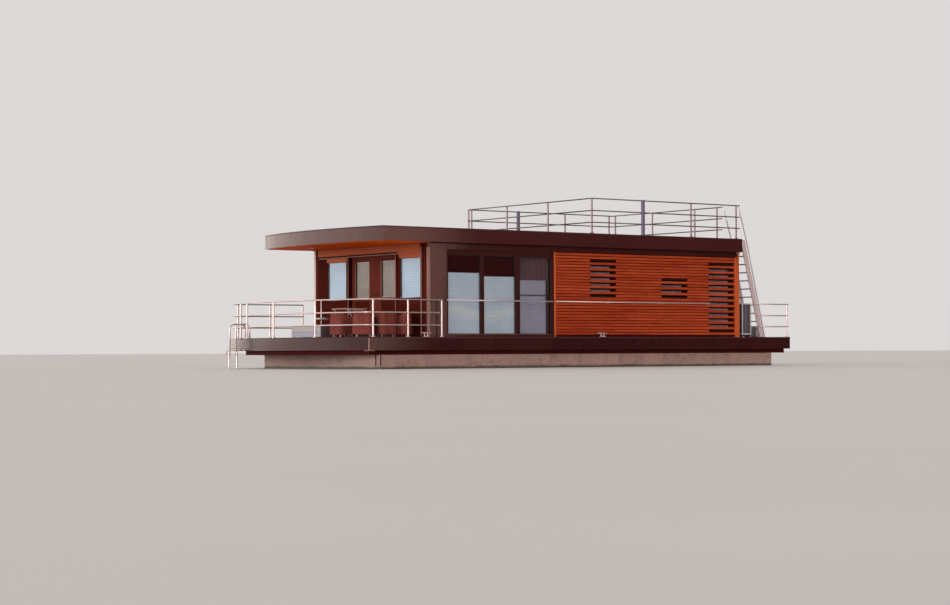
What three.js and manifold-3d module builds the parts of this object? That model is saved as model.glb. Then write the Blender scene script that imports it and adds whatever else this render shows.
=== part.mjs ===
// Houseboat: a flat pontoon, a wide deck with a curved bow, a cabin and a railed roof terrace.
// Millimetres. Origin at the middle of the pontoon's flat bottom, +X aft, +Y starboard, +Z up.
import * as THREE from 'three';
import { mergeVertices } from 'three/addons/utils/BufferGeometryUtils.js';
import Module from 'manifold-3d';

const wasm = await Module();
wasm.setup();

// Driving dimensions
const SEAM = 0.3;
const PONTOON = { length: 14300, width: 5800, height: 925, chamfer: 90 };
const DECK = { port: -3000, starboard: 4150, front: -7510, aft: 7750, bulge: 600, top: 1395 };
const FASCIA = { thick: 50, deckHeight: 350, roofHeight: 390 };
const PLATFORM_THICK = 150;
const FRAME_INSET = 130;
const JOIST = { count: 13, width: 90, height: 140 };
const ROOF = { port: -3000, starboard: 2900, front: -7050, aft: 5800, bulge: 370, top: 4298, soffit: 3895 };
const CABIN = { port: -2800, starboard: 2700, front: -5510, aft: 5750, wall: 150 };
const FLOOR_THICK = 40;
const CLADDING = { forward: -1210, thick: 60, top: 3755, slat: 82 };
const GLASS_THICK = 24;
const TERRACE = { port: -2950, starboard: 2850, front: 50, aft: 5740 };
const RAIL = { height: 1000, roofHeight: 1000, post: 25, tube: 19, roofTube: 17, sides: 6, footRadius: 60, foot: 10, footSides: 8 };
const RAIL_LEVELS = [1.0, 0.66, 0.33];
const RAIL_INSET = 60;
const DOOR = { thick: 70, gap: 8, top: 3645, stile: 170, pin: 12, pinInset: 20, glassLow: 2500, glassHigh: 3500 };
const STAIR = { port: -2870, width: 650, topX: 5940, footX: 6700, stringer: 30, depth: 160, treads: 11 };
const LADDER = { x: -8170, near: 2640, far: 2980, tube: 20, rung: 14, pivotZ: 980, footZ: 130, pin: 9, bore: 10, handle: 396, step: 325 };
const ARC_STEPS = 14;

// Colours, with roughness and metalness
const MATERIALS = {
  concrete: material(0x9a9084, 0.9, 0),
  dark_panel: material(0x3b3436, 0.55, 0.1),
  timber: material(0xb5602b, 0.65, 0),
  deck_boards: material(0x6d5a4c, 0.8, 0),
  frame_metal: material(0x2c2627, 0.5, 0.2),
  door_wood: material(0x5a2c20, 0.55, 0),
  glass: material(0x9fb4c4, 0.08, 0),
  rail_metal: material(0xd8d4d2, 0.35, 0.6),
  aluminium: material(0xc4c6c8, 0.4, 0.8),
  white_plastic: material(0xe4e6ea, 0.5, 0),
  inner_panel: material(0xd9d2c6, 0.8, 0),
  wicker: material(0x5f5450, 0.85, 0),
  fan_plastic: material(0x2a2b2d, 0.6, 0),
};

const boat = new THREE.Group();
boat.name = 'houseboat';

function material(colour, roughness, metalness) {
  return new THREE.MeshStandardMaterial({ color: colour, roughness, metalness });
}

// Solids from three.js geometry
function solidOf(geometry) {
  const plain = new THREE.BufferGeometry();
  plain.setAttribute('position', geometry.getAttribute('position').clone());
  if (geometry.index) plain.setIndex(geometry.index.clone());
  const merged = mergeVertices(plain, 0.001);
  const vertProperties = new Float32Array(merged.getAttribute('position').array);
  const triVerts = new Uint32Array(merged.index.array);
  return new wasm.Manifold(new wasm.Mesh({ numProp: 3, vertProperties, triVerts }));
}

function addPart(name, solid, slot) {
  const mesh = solid.getMesh();
  const geometry = new THREE.BufferGeometry();
  geometry.setAttribute('position', new THREE.BufferAttribute(new Float32Array(mesh.vertProperties), 3));
  geometry.setIndex(new THREE.BufferAttribute(new Uint32Array(mesh.triVerts), 1));
  geometry.computeVertexNormals();
  const part = new THREE.Mesh(geometry, MATERIALS[slot]);
  part.name = name;
  boat.add(part);
}

function box(x0, x1, y0, y1, z0, z1) {
  const geometry = new THREE.BoxGeometry(x1 - x0, y1 - y0, z1 - z0);
  geometry.translate((x0 + x1) / 2, (y0 + y1) / 2, (z0 + z1) / 2);
  return solidOf(geometry);
}

function rod(start, end, radius, sides = RAIL.sides) {
  const from = new THREE.Vector3(...start);
  const to = new THREE.Vector3(...end);
  const along = to.clone().sub(from);
  const geometry = new THREE.CylinderGeometry(radius, radius, along.length(), sides);
  const turn = new THREE.Quaternion().setFromUnitVectors(new THREE.Vector3(0, 1, 0), along.clone().normalize());
  geometry.applyQuaternion(turn);
  geometry.translate(...from.add(to).multiplyScalar(0.5).toArray());
  return solidOf(geometry);
}

// A bent tube along a smooth curve through the points
function bentTube(points, radius, stepsPerPoint = 2) {
  const section = new THREE.Shape();
  for (let i = 0; i < RAIL.sides; i++) {
    const angle = (i / RAIL.sides) * 2 * Math.PI;
    const corner = [radius * Math.cos(angle), radius * Math.sin(angle)];
    if (i === 0) section.moveTo(...corner);
    else section.lineTo(...corner);
  }
  section.closePath();
  const path = new THREE.CatmullRomCurve3(points.map((point) => new THREE.Vector3(...point)), false, 'centripetal');
  const steps = (points.length - 1) * stepsPerPoint;
  return solidOf(new THREE.ExtrudeGeometry(section, { steps, extrudePath: path, bevelEnabled: false }));
}

function joined(pieces) {
  return pieces.reduce((whole, piece) => whole.add(piece));
}

function slab(outline, z0, z1) {
  const shape = new THREE.Shape(outline.map(([x, y]) => new THREE.Vector2(x, y)));
  const geometry = new THREE.ExtrudeGeometry(shape, { depth: z1 - z0, bevelEnabled: false });
  geometry.translate(0, 0, z0);
  return solidOf(geometry);
}

// The bow of deck and roof is one arc of a circle between the two front corners
function bowArc(plan, inset) {
  const half = (plan.starboard - plan.port) / 2;
  const radius = (half * half + plan.bulge * plan.bulge) / (2 * plan.bulge);
  const centre = { x: plan.front - plan.bulge + radius, y: (plan.port + plan.starboard) / 2 };
  return { radius: radius - inset, centre };
}

function bowPoint(plan, inset, y) {
  const { radius, centre } = bowArc(plan, inset);
  const across = y - centre.y;
  return [centre.x - Math.sqrt(radius * radius - across * across), y];
}

function bowPoints(plan, inset, fromY, toY, steps = ARC_STEPS) {
  const points = [];
  for (let i = 0; i <= steps; i++) {
    points.push(bowPoint(plan, inset, fromY + ((toY - fromY) * i) / steps));
  }
  return points;
}

function planOutline(plan, inset) {
  const port = plan.port + inset;
  const starboard = plan.starboard - inset;
  const aft = plan.aft - inset;
  return [[aft, port], [aft, starboard], ...bowPoints(plan, inset, starboard, port)];
}

// Hull and deck
function addPontoon() {
  const { length, width, height, chamfer } = PONTOON;
  const x = length / 2;
  const y = width / 2;
  const outline = [
    [-x + chamfer, -y], [x - chamfer, -y], [x, -y + chamfer], [x, y - chamfer],
    [x - chamfer, y], [-x + chamfer, y], [-x, y - chamfer], [-x, -y + chamfer],
  ];
  addPart('pontoon', slab(outline, 0, height), 'concrete');
}

function addDeck() {
  const frameTop = DECK.top - PLATFORM_THICK - SEAM;
  const frameBase = PONTOON.height + SEAM;
  const frameStarboard = PONTOON.width / 2 - 50;
  const whole = slab(planOutline(DECK, FRAME_INSET), frameBase, frameTop);
  const keep = box(DECK.front - 2000, DECK.aft, DECK.port, frameStarboard, frameBase, frameTop);
  const pieces = [whole.intersect(keep)];
  const reach = DECK.starboard - FASCIA.thick - SEAM;
  for (let i = 0; i < JOIST.count; i++) {
    const x = DECK.front + 500 + ((DECK.aft - DECK.front - 800) * i) / (JOIST.count - 1);
    pieces.push(box(x - JOIST.width / 2, x + JOIST.width / 2, frameStarboard - 200, reach, frameTop - JOIST.height, frameTop));
  }
  addPart('deck_frame', joined(pieces), 'frame_metal');
  const platform = slab(planOutline(DECK, FASCIA.thick + SEAM), DECK.top - PLATFORM_THICK, DECK.top);
  addPart('deck_platform', platform, 'deck_boards');
  const outer = slab(planOutline(DECK, 0), DECK.top - FASCIA.deckHeight, DECK.top);
  const inner = slab(planOutline(DECK, FASCIA.thick), DECK.top - FASCIA.deckHeight - 10, DECK.top + 10);
  addPart('deck_fascia', outer.subtract(inner), 'dark_panel');
}

// Roof and terrace
function addRoof() {
  addPart('roof_slab', slab(planOutline(ROOF, FASCIA.thick + SEAM), ROOF.soffit, ROOF.top), 'dark_panel');
  const base = ROOF.top - FASCIA.roofHeight;
  const outer = slab(planOutline(ROOF, 0), base, ROOF.top);
  const inner = slab(planOutline(ROOF, FASCIA.thick), base - 10, ROOF.top + 10);
  addPart('roof_fascia', outer.subtract(inner), 'dark_panel');
}

// Cabin walls, each as thick as the whole wall
const wallBase = DECK.top + SEAM;
const wallTop = ROOF.soffit - SEAM;
const floorTop = DECK.top + SEAM + FLOOR_THICK;
const portInner = CABIN.port + CABIN.wall;
const starboardInner = CABIN.starboard - CABIN.wall;
const frontInner = CABIN.front + CABIN.wall;
const aftInner = CABIN.aft - CABIN.wall;

const SIDE_WINDOW = { x0: -4870, x1: -1270, z0: 1455, z1: 3735, paneLow: 1475, paneHigh: 3585 };
// Panes of a side window: [first x, last x]
const SIDE_PANES = [[-4828, -3757], [-3625, -2565], [-2395, -1307]];
const STARBOARD_PANES = [[-4830, -3200], [-3000, -1390]];
// Louvred windows: first x, last x, top of the topmost slot, number of slots
const LOUVRES = [
  { x0: 100, x1: 1070, top: 3577, slots: 7 },
  { x0: 2770, x1: 3800, top: 3085, slots: 4 },
  { x0: 4620, x1: 5650, top: 3577, slots: 13 },
];
// Windows of the front wall: name, first y, last y
const FRONT_WINDOWS = [
  { side: 'port', y0: -2480, y1: -1550 },
  { side: 'starboard', y0: 1110, y1: 2050 },
];
const FRONT_GLASS = { z0: 2445, z1: 3525 };
const FRONT_DOORS = { y0: -1320, y1: 1010 };
const AFT_DOOR = { y0: -150, y1: 850 };
const SIDE_DOOR = { x0: 300, x1: 1300 };

function louvreHeight(louvre) {
  return (2 * louvre.slots - 1) * CLADDING.slat;
}

function pane(x0, x1, y0, y1, z0, z1) {
  return box(x0 + SEAM, x1 - SEAM, y0 + SEAM, y1 - SEAM, z0 + SEAM, z1 - SEAM);
}

function addPortSide() {
  const { x0, x1, z0, z1, paneLow, paneHigh } = SIDE_WINDOW;
  const front = box(CABIN.front, CLADDING.forward - SEAM, CABIN.port, portInner, wallBase, wallTop);
  addPart('wall_port_front', front.subtract(box(x0, x1, CABIN.port - 10, portInner + 10, z0, z1)), 'dark_panel');

  const frameOuter = CABIN.port + 20;
  const frameInner = frameOuter + 80;
  const glassY = frameOuter + 2;
  let frame = pane(x0, x1, frameOuter, frameInner, z0, z1);
  SIDE_PANES.forEach(([p0, p1], i) => {
    frame = frame.subtract(box(p0, p1, frameOuter - 10, frameInner + 10, paneLow, paneHigh));
    addPart(`window_glass_port_${i + 1}`, pane(p0, p1, glassY, glassY + GLASS_THICK, paneLow, paneHigh), 'glass');
  });
  addPart('window_frame_port', frame, 'frame_metal');

  const claddingInner = CABIN.port + CLADDING.thick;
  let wall = box(CLADDING.forward, CABIN.aft, claddingInner, portInner, wallBase, wallTop);
  wall = wall.add(box(CLADDING.forward, CABIN.aft, CABIN.port, claddingInner + 10, CLADDING.top, wallTop));
  let cladding = box(CLADDING.forward, CABIN.aft, CABIN.port, claddingInner - SEAM, wallBase, CLADDING.top - SEAM);
  LOUVRES.forEach((louvre, i) => {
    const low = louvre.top - louvreHeight(louvre);
    wall = wall.subtract(box(louvre.x0, louvre.x1, CABIN.port - 10, portInner + 10, low, louvre.top));
    for (let slot = 0; slot < louvre.slots; slot++) {
      const top = louvre.top - 2 * slot * CLADDING.slat;
      const cut = box(louvre.x0, louvre.x1, CABIN.port - 10, claddingInner + 10, top - CLADDING.slat, top);
      cladding = cladding.subtract(cut);
    }
    const glassPlane = claddingInner + 20;
    const glass = pane(louvre.x0, louvre.x1, glassPlane, glassPlane + GLASS_THICK, low, louvre.top);
    addPart(`louvre_glass_port_${i + 1}`, glass, 'glass');
  });
  addPart('wall_port_aft', wall, 'frame_metal');
  addPart('timber_cladding_port', cladding, 'timber');
}

function addStarboardSide() {
  const { paneLow, paneHigh } = SIDE_WINDOW;
  let wall = box(CABIN.front, CABIN.aft, starboardInner, CABIN.starboard, wallBase, wallTop);
  const outerGlass = CABIN.starboard - 60;
  STARBOARD_PANES.forEach(([p0, p1], i) => {
    wall = wall.subtract(box(p0, p1, starboardInner - 10, CABIN.starboard + 10, paneLow, paneHigh));
    const glass = pane(p0, p1, outerGlass, outerGlass + GLASS_THICK, paneLow, paneHigh);
    addPart(`window_glass_starboard_${i + 1}`, glass, 'glass');
  });
  const { x0, x1 } = SIDE_DOOR;
  wall = wall.subtract(box(x0, x1, starboardInner - 10, CABIN.starboard + 10, floorTop, DOOR.top + DOOR.gap));
  addPart('wall_starboard', wall, 'dark_panel');
}

function addFrontWall() {
  let wall = box(CABIN.front, frontInner, portInner + SEAM, starboardInner - SEAM, wallBase, wallTop);
  const glassX = CABIN.front + 10;
  FRONT_WINDOWS.forEach(({ side, y0, y1 }) => {
    wall = wall.subtract(box(CABIN.front - 10, frontInner + 10, y0, y1, FRONT_GLASS.z0, FRONT_GLASS.z1));
    const glass = pane(glassX, glassX + GLASS_THICK, y0, y1, FRONT_GLASS.z0, FRONT_GLASS.z1);
    addPart(`front_window_glass_${side}`, glass, 'glass');
  });
  const { y0, y1 } = FRONT_DOORS;
  wall = wall.subtract(box(CABIN.front - 10, frontInner + 10, y0, y1, floorTop, DOOR.top + DOOR.gap));
  addPart('wall_front', wall, 'door_wood');
}

function addAftWall() {
  let wall = box(aftInner, CABIN.aft, portInner + SEAM, starboardInner - SEAM, wallBase, wallTop);
  wall = wall.subtract(box(aftInner - 10, CABIN.aft + 10, AFT_DOOR.y0, AFT_DOOR.y1, floorTop, DOOR.top + DOOR.gap));
  addPart('wall_aft', wall, 'dark_panel');
}

// Doors stand at the wall's inner face and open into the cabin on pivot pins in the floor.
// Across a wall along Y: inside is +1 where the cabin lies towards +X, and -1 where it lies towards -X.
const DOORS = [
  { name: 'front_door_port', wallX: frontInner, inside: 1, hingeY: -1320, latchY: -155, hingeStile: 170, latchStile: 285 },
  { name: 'front_door_starboard', wallX: frontInner, inside: 1, hingeY: 1010, latchY: -155, hingeStile: 170, latchStile: 285 },
  { name: 'aft_door', wallX: aftInner, inside: -1, hingeY: 850, latchY: -150 },
];

function doorPin(door) {
  const towards = Math.sign(door.latchY - door.hingeY);
  const x = door.wallX + door.inside * (40 - DOOR.pinInset);
  const y = door.hingeY + towards * (DOOR.gap + DOOR.pinInset);
  return [x, y];
}

function addDoor(door) {
  const towards = Math.sign(door.latchY - door.hingeY);
  const inner = door.wallX + door.inside * 40;
  const outer = inner - door.inside * DOOR.thick;
  const hinge = door.hingeY + towards * DOOR.gap;
  const latch = door.latchY - towards * (DOOR.gap / 2);
  const [x0, x1] = [Math.min(inner, outer), Math.max(inner, outer)];
  const [y0, y1] = [Math.min(hinge, latch), Math.max(hinge, latch)];
  let leaf = box(x0, x1, y0, y1, floorTop + DOOR.gap, DOOR.top);
  leaf = leaf.add(doorHandle(inner, door.inside, latch - towards * 60, towards));
  leaf = leaf.add(doorHandle(outer, -door.inside, latch - towards * 60, towards));
  if (!door.hingeStile) {
    addPart(door.name, leaf, 'dark_panel');
    return;
  }
  const glassHinge = hinge + towards * door.hingeStile;
  const glassLatch = latch - towards * door.latchStile;
  const [g0, g1] = [Math.min(glassHinge, glassLatch), Math.max(glassHinge, glassLatch)];
  leaf = leaf.subtract(box(x0 - 10, x1 + 10, g0, g1, DOOR.glassLow, DOOR.glassHigh));
  addPart(door.name, leaf, 'door_wood');
  const middle = (x0 + x1) / 2;
  const glass = pane(middle - GLASS_THICK / 2, middle + GLASS_THICK / 2, g0, g1, DOOR.glassLow, DOOR.glassHigh);
  addPart(`${door.name}_glass`, glass, 'glass');
}

function doorHandle(face, out, y, towards) {
  const height = floorTop + 1030;
  const neck = rod([face - out * 5, y, height], [face + out * 45, y, height], 11);
  const lever = rod([face + out * 38, y + towards * 10, height], [face + out * 38, y - towards * 120, height], 10);
  return neck.add(lever);
}

// The side entrance is a plain panel door in the starboard wall
const sideDoorPin = [SIDE_DOOR.x1 - DOOR.gap - DOOR.pinInset, starboardInner - 40 + DOOR.pinInset];

function addSideDoor() {
  const inner = starboardInner - 40;
  const x0 = SIDE_DOOR.x0 + DOOR.gap;
  const x1 = SIDE_DOOR.x1 - DOOR.gap;
  const leaf = box(x0, x1, inner, inner + DOOR.thick, floorTop + DOOR.gap, DOOR.top);
  const handleX = x0 + 70;
  const height = floorTop + 1030;
  const outer = inner + DOOR.thick;
  const pieces = [leaf];
  for (const [face, out] of [[outer, 1], [inner, -1]]) {
    pieces.push(rod([handleX, face - out * 5, height], [handleX, face + out * 45, height], 11));
    pieces.push(rod([handleX - 10, face + out * 38, height], [handleX + 120, face + out * 38, height], 10));
  }
  addPart('side_door', joined(pieces), 'door_wood');
}

function addCabinFloor() {
  const inset = SEAM;
  const pieces = [box(frontInner + inset, aftInner - inset, portInner + inset, starboardInner - inset, wallBase, floorTop)];
  const pins = [...DOORS.map(doorPin), sideDoorPin];
  for (const [x, y] of pins) {
    pieces.push(rod([x, y, floorTop - 10], [x, y, floorTop + DOOR.gap - SEAM], DOOR.pin, 12));
  }
  addPart('cabin_floor', joined(pieces), 'inner_panel');
}

function addCornerColumn() {
  const x = CABIN.front + 70;
  const y = CABIN.starboard + SEAM;
  addPart('corner_column', box(x - 55, x + 55, y, y + 130, wallBase, wallTop), 'rail_metal');
}

// Railings
function railPost(x, y, base, height, radius = RAIL.post) {
  const foot = rod([x, y, base], [x, y, base + RAIL.foot], RAIL.footRadius, RAIL.footSides);
  return rod([x, y, base], [x, y, base + height - 1], radius).add(foot);
}

function railTubes(from, to, base, height, tube) {
  return RAIL_LEVELS.map((level) => {
    const z = base + height * level - tube;
    return rod([...from, z], [...to, z], tube);
  });
}

function straightRail(from, to, posts, base, height, tube) {
  return joined([...posts.map(([x, y]) => railPost(x, y, base, height)), ...railTubes(from, to, base, height, tube)]);
}

const deckRailBase = DECK.top + SEAM;
const deckRailHeight = RAIL.height - SEAM;
const portRailY = DECK.port + RAIL_INSET;
const starboardRailY = DECK.starboard - RAIL_INSET;

// A railing along the bow that bends round a corner of the deck into its side
function bowRail(plan, sideEnd, posts) {
  const pieces = posts.map(([x, y]) => railPost(x, y, deckRailBase, deckRailHeight));
  const corner = plan[plan.length - 1];
  for (const level of RAIL_LEVELS) {
    const z = deckRailBase + deckRailHeight * level - RAIL.tube;
    pieces.push(bentTube([...plan, [corner[0] + 60, corner[1]]].map(([x, y]) => [x, y, z]), RAIL.tube));
  }
  pieces.push(...railTubes(corner, [sideEnd, corner[1]], deckRailBase, deckRailHeight, RAIL.tube));
  return joined(pieces);
}

function addDeckRails() {
  const onBow = (y) => bowPoint(DECK, RAIL_INSET, y);
  const portCorner = [[-7450, -2830], [-7340, portRailY]];
  const portPlan = [...[2540, 1660, 850, -110, -1070, -1900, -2600].map(onBow), ...portCorner];
  const portPosts = [2540, 850, -1070].map(onBow);
  portPosts.push([-7340, portRailY], [-6235, portRailY], [-5145, portRailY]);
  addPart('deck_rail_bow', bowRail(portPlan, -5125, portPosts), 'rail_metal');

  const starboardPlan = [...[3080, 3400, 3700].map(onBow), [-7400, 3970], [-7260, starboardRailY]];
  const starboardPosts = [onBow(3080), [-7260, starboardRailY], [-6186, starboardRailY], [-5084, starboardRailY]];
  addPart('deck_rail_starboard', bowRail(starboardPlan, -5064, starboardPosts), 'rail_metal');
}

// The stern railing starts on the stair's outer stringer, where each rail has a stub
function addSternRail() {
  const end = DECK.aft - 5;
  const pieces = [railPost(7685, portRailY, deckRailBase, deckRailHeight)];
  for (const level of RAIL_LEVELS) {
    const z = deckRailBase + deckRailHeight * level - RAIL.tube;
    const x = stairLine(z);
    pieces.push(rod([x - STAIR.depth / 2, portRailY, z], [end, portRailY, z], RAIL.tube));
    pieces.push(rod([x, portRailY, z], [x, STAIR.port - SEAM, z], 14));
  }
  addPart('deck_rail_stern', joined(pieces), 'rail_metal');
}

function addRoofRails() {
  const base = ROOF.top + SEAM;
  const height = RAIL.roofHeight;
  const { port, starboard, front, aft } = TERRACE;
  const rail = (from, to, posts) => straightRail(from, to, posts, base, height, RAIL.roofTube);
  const clear = RAIL.post + 12;
  const sidePosts = (y) => [[front, y], [3800, y], [5600, y]];
  const thickPost = (y) => rod([1950, y, base], [1950, y, base + height + 10], 55, 8);
  const portRail = rail([front, port], [aft, port], sidePosts(port)).add(thickPost(port));
  addPart('roof_rail_port', portRail, 'rail_metal');
  const starboardRail = rail([front, starboard], [aft, starboard], sidePosts(starboard)).add(thickPost(starboard));
  addPart('roof_rail_starboard', starboardRail, 'rail_metal');
  const bowPosts = [[front, -980], [front, 950], [front, 2700]];
  addPart('roof_rail_bow', rail([front, port + clear], [front, starboard - clear], bowPosts), 'rail_metal');
  const sternX = aft;
  const sternPosts = [[sternX, 2700], [sternX, 930], [sternX, -1000], [sternX, -1980]];
  const sternTo = [sternX, STAIR.port + STAIR.width + 20];
  addPart('roof_rail_stern', rail([sternX, starboard - clear], sternTo, sternPosts), 'rail_metal');
}

// Steep stair from the aft deck to the roof
function stairLine(z) {
  const share = (z - DECK.top) / (ROOF.top - DECK.top);
  return STAIR.footX + (STAIR.topX - STAIR.footX) * share;
}

function stringer(y0) {
  const half = STAIR.depth / 2;
  const low = DECK.top + SEAM;
  const high = ROOF.top - 20;
  const outline = [
    [stairLine(low) - half, low], [stairLine(low) + half, low],
    [stairLine(high) + half, high], [stairLine(high) - half + 60, high],
  ];
  const shape = new THREE.Shape(outline.map(([x, z]) => new THREE.Vector2(x, z)));
  const geometry = new THREE.ExtrudeGeometry(shape, { depth: STAIR.stringer, bevelEnabled: false });
  geometry.rotateX(Math.PI / 2);
  geometry.translate(0, y0 + STAIR.stringer, 0);
  return solidOf(geometry);
}

function addStair() {
  const far = STAIR.port + STAIR.width;
  const pieces = [stringer(STAIR.port), stringer(far - STAIR.stringer)];
  const rise = (ROOF.top - DECK.top) / (STAIR.treads + 1);
  for (let i = 1; i <= STAIR.treads; i++) {
    const z = DECK.top + rise * i;
    const x = stairLine(z);
    pieces.push(box(x - 60, x + 75, STAIR.port + 10, far - 10, z - 30, z));
  }
  const hook = box(ROOF.aft + SEAM, ROOF.aft + 170, STAIR.port, far, ROOF.top - 110, ROOF.top - 20);
  pieces.push(hook);
  addPart('roof_stair', joined(pieces), 'aluminium');
}

function addStairHandrail(side, y, stringerY) {
  const top = ROOF.top + RAIL.roofHeight;
  const startX = TERRACE.aft + 22;
  const low = DECK.top + RAIL.foot;
  const lowX = STAIR.footX + STAIR.depth / 2 + 32;
  const bendX = STAIR.topX + STAIR.depth / 2 + 72;
  const slope = (lowX - bendX) / (ROOF.top - low);
  const lean = (STAIR.footX - STAIR.topX) / (ROOF.top - DECK.top);
  const bracket = 12;
  let rail = bentTube([[startX, y, top - 17], [bendX, y, ROOF.top], [lowX, y, low]], 18, 4);
  rail = rail.add(rod([lowX, y, DECK.top + SEAM], [lowX, y, DECK.top + 2 * RAIL.foot], 30, 12));
  for (const upper of [ROOF.top - 400, ROOF.top - 1500]) {
    const seat = stairLine(upper) + STAIR.depth / 2 + SEAM + bracket * lean;
    rail = rail.add(rod([seat, stringerY, upper], [bendX + slope * (ROOF.top - upper), stringerY, upper], bracket));
  }
  addPart(`stair_handrail_${side}`, rail, 'aluminium');
}

// Two handrails along the port wall: one in front of the window, one in front of the cladding
const WALL_HANDRAILS = [
  { side: 'fore', x0: -4920, x1: -1310, face: CABIN.port + 20, flange: 18, feet: [-4849, -3691, -2480] },
  { side: 'aft', x0: -1186, x1: 4590, face: CABIN.port, flange: 32, feet: [-1120, 740, 2660, 4570] },
];

function addWallHandrail({ side, x0, x1, face, flange, feet }) {
  const z = DECK.top + 980;
  const y = CABIN.port - 75;
  const pieces = [rod([x0, y, z], [x1, y, z], 17)];
  for (const x of feet) {
    pieces.push(rod([x, y, z], [x, face - SEAM - 8, z], 12));
    pieces.push(rod([x, face - SEAM - 8, z], [x, face - SEAM, z], flange, 12));
  }
  addPart(`wall_handrail_${side}`, joined(pieces), 'rail_metal');
}

// Swim ladder: hoops on the deck, and a lower section that folds up on two pins
const pinReach = 52;

function addSwimLadder() {
  const { x, near, far, tube, rung, pivotZ } = LADDER;
  const pieces = [];
  for (const y of [near, far]) {
    const deckX = bowPoint(DECK, 0, y)[0] + 180;
    const handle = DECK.top + LADDER.handle;
    const points = [
      [x, y, pivotZ - 60], [x, y, handle - 150], [x + 45, y, handle - 40], [x + 140, y, handle],
      [deckX - 140, y, handle], [deckX - 45, y, handle - 40], [deckX, y, handle - 150], [deckX, y, DECK.top + SEAM],
    ];
    pieces.push(bentTube(points, tube));
    const fascia = bowPoint(DECK, 0, y)[0] - 12;
    pieces.push(rod([x, y, DECK.top - LADDER.step], [fascia, y, DECK.top - LADDER.step], 14));
    const out = y === near ? -1 : 1;
    pieces.push(rod([x, y, pivotZ], [x, y + out * pinReach, pivotZ], LADDER.pin, 12));
  }
  for (const z of [DECK.top - 20, DECK.top - LADDER.step]) {
    pieces.push(rod([x, near, z], [x, far, z], rung));
  }
  addPart('swim_ladder', joined(pieces), 'rail_metal');

  const lower = [];
  for (const y of [near - 47, far + 47]) {
    lower.push(rod([x, y, pivotZ + 40], [x, y, LADDER.footZ], tube));
  }
  for (const z of [pivotZ - 216, pivotZ - 516, pivotZ - 816]) {
    lower.push(rod([x, near - 47, z], [x, far + 47, z], rung));
  }
  const bore = rod([x, near - 100, pivotZ], [x, far + 100, pivotZ], LADDER.bore, 12);
  addPart('swim_ladder_lower', joined(lower).subtract(bore), 'rail_metal');
}

// Fittings
function addCleat(name, x, y) {
  const base = DECK.top + SEAM;
  const pieces = [
    box(x - 90, x + 90, y - 40, y + 40, base, base + 14),
    rod([x - 45, y, base + 5], [x - 60, y, base + 95], 16),
    rod([x + 45, y, base + 5], [x + 60, y, base + 95], 16),
    rod([x - 180, y, base + 105], [x + 180, y, base + 105], 19),
  ];
  addPart(name, joined(pieces), 'rail_metal');
}

// The heat pump's fan turns in a round recess in the aft face of its case
const HEAT_PUMP = { x0: 5925, x1: 6295, y0: -2850, y1: -1950, height: 1000 };
const FAN = { y: -2450, z: 1940, radius: 300, shaft: 10, bore: 11, hub: 60 };

function addHeatPump() {
  const { x0, x1, y0, y1, height } = HEAT_PUMP;
  const { y, z, radius, shaft, bore, hub } = FAN;
  const base = DECK.top + SEAM;
  const recess = rod([x1 - 120, y, z], [x1 + 20, y, z], radius, 28);
  const stub = rod([x1 - 140, y, z], [x1 - 40, y, z], shaft, 12);
  const body = box(x0, x1, y0, y1, base + 60, base + height).subtract(recess).add(stub);
  const feet = [y0 + 120, y1 - 120].map((across) => box(x0, x1, across - 40, across + 40, base, base + 70));
  addPart('heat_pump', joined([body, ...feet]), 'white_plastic');
  const boss = rod([x1 - 110, y, z], [x1 - 50, y, z], hub, 12);
  const blades = [0, 1, 2].map((i) => fanBlade(i * ((2 * Math.PI) / 3)));
  const hole = rod([x1 - 130, y, z], [x1 - 30, y, z], bore, 12);
  addPart('heat_pump_fan', joined([boss, ...blades]).subtract(hole), 'fan_plastic');
}

function fanBlade(angle) {
  const length = FAN.radius - 60;
  const geometry = new THREE.BoxGeometry(12, 150, length);
  geometry.translate(0, 0, length / 2 + 40);
  geometry.rotateZ(0.2);
  geometry.rotateX(angle);
  geometry.translate(HEAT_PUMP.x1 - 80, FAN.y, FAN.z);
  return solidOf(geometry);
}

function addSternBox() {
  const base = DECK.top + SEAM;
  addPart('stern_box', box(7350, 7590, -1960, -1640, base, base + 340), 'inner_panel');
}

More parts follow.
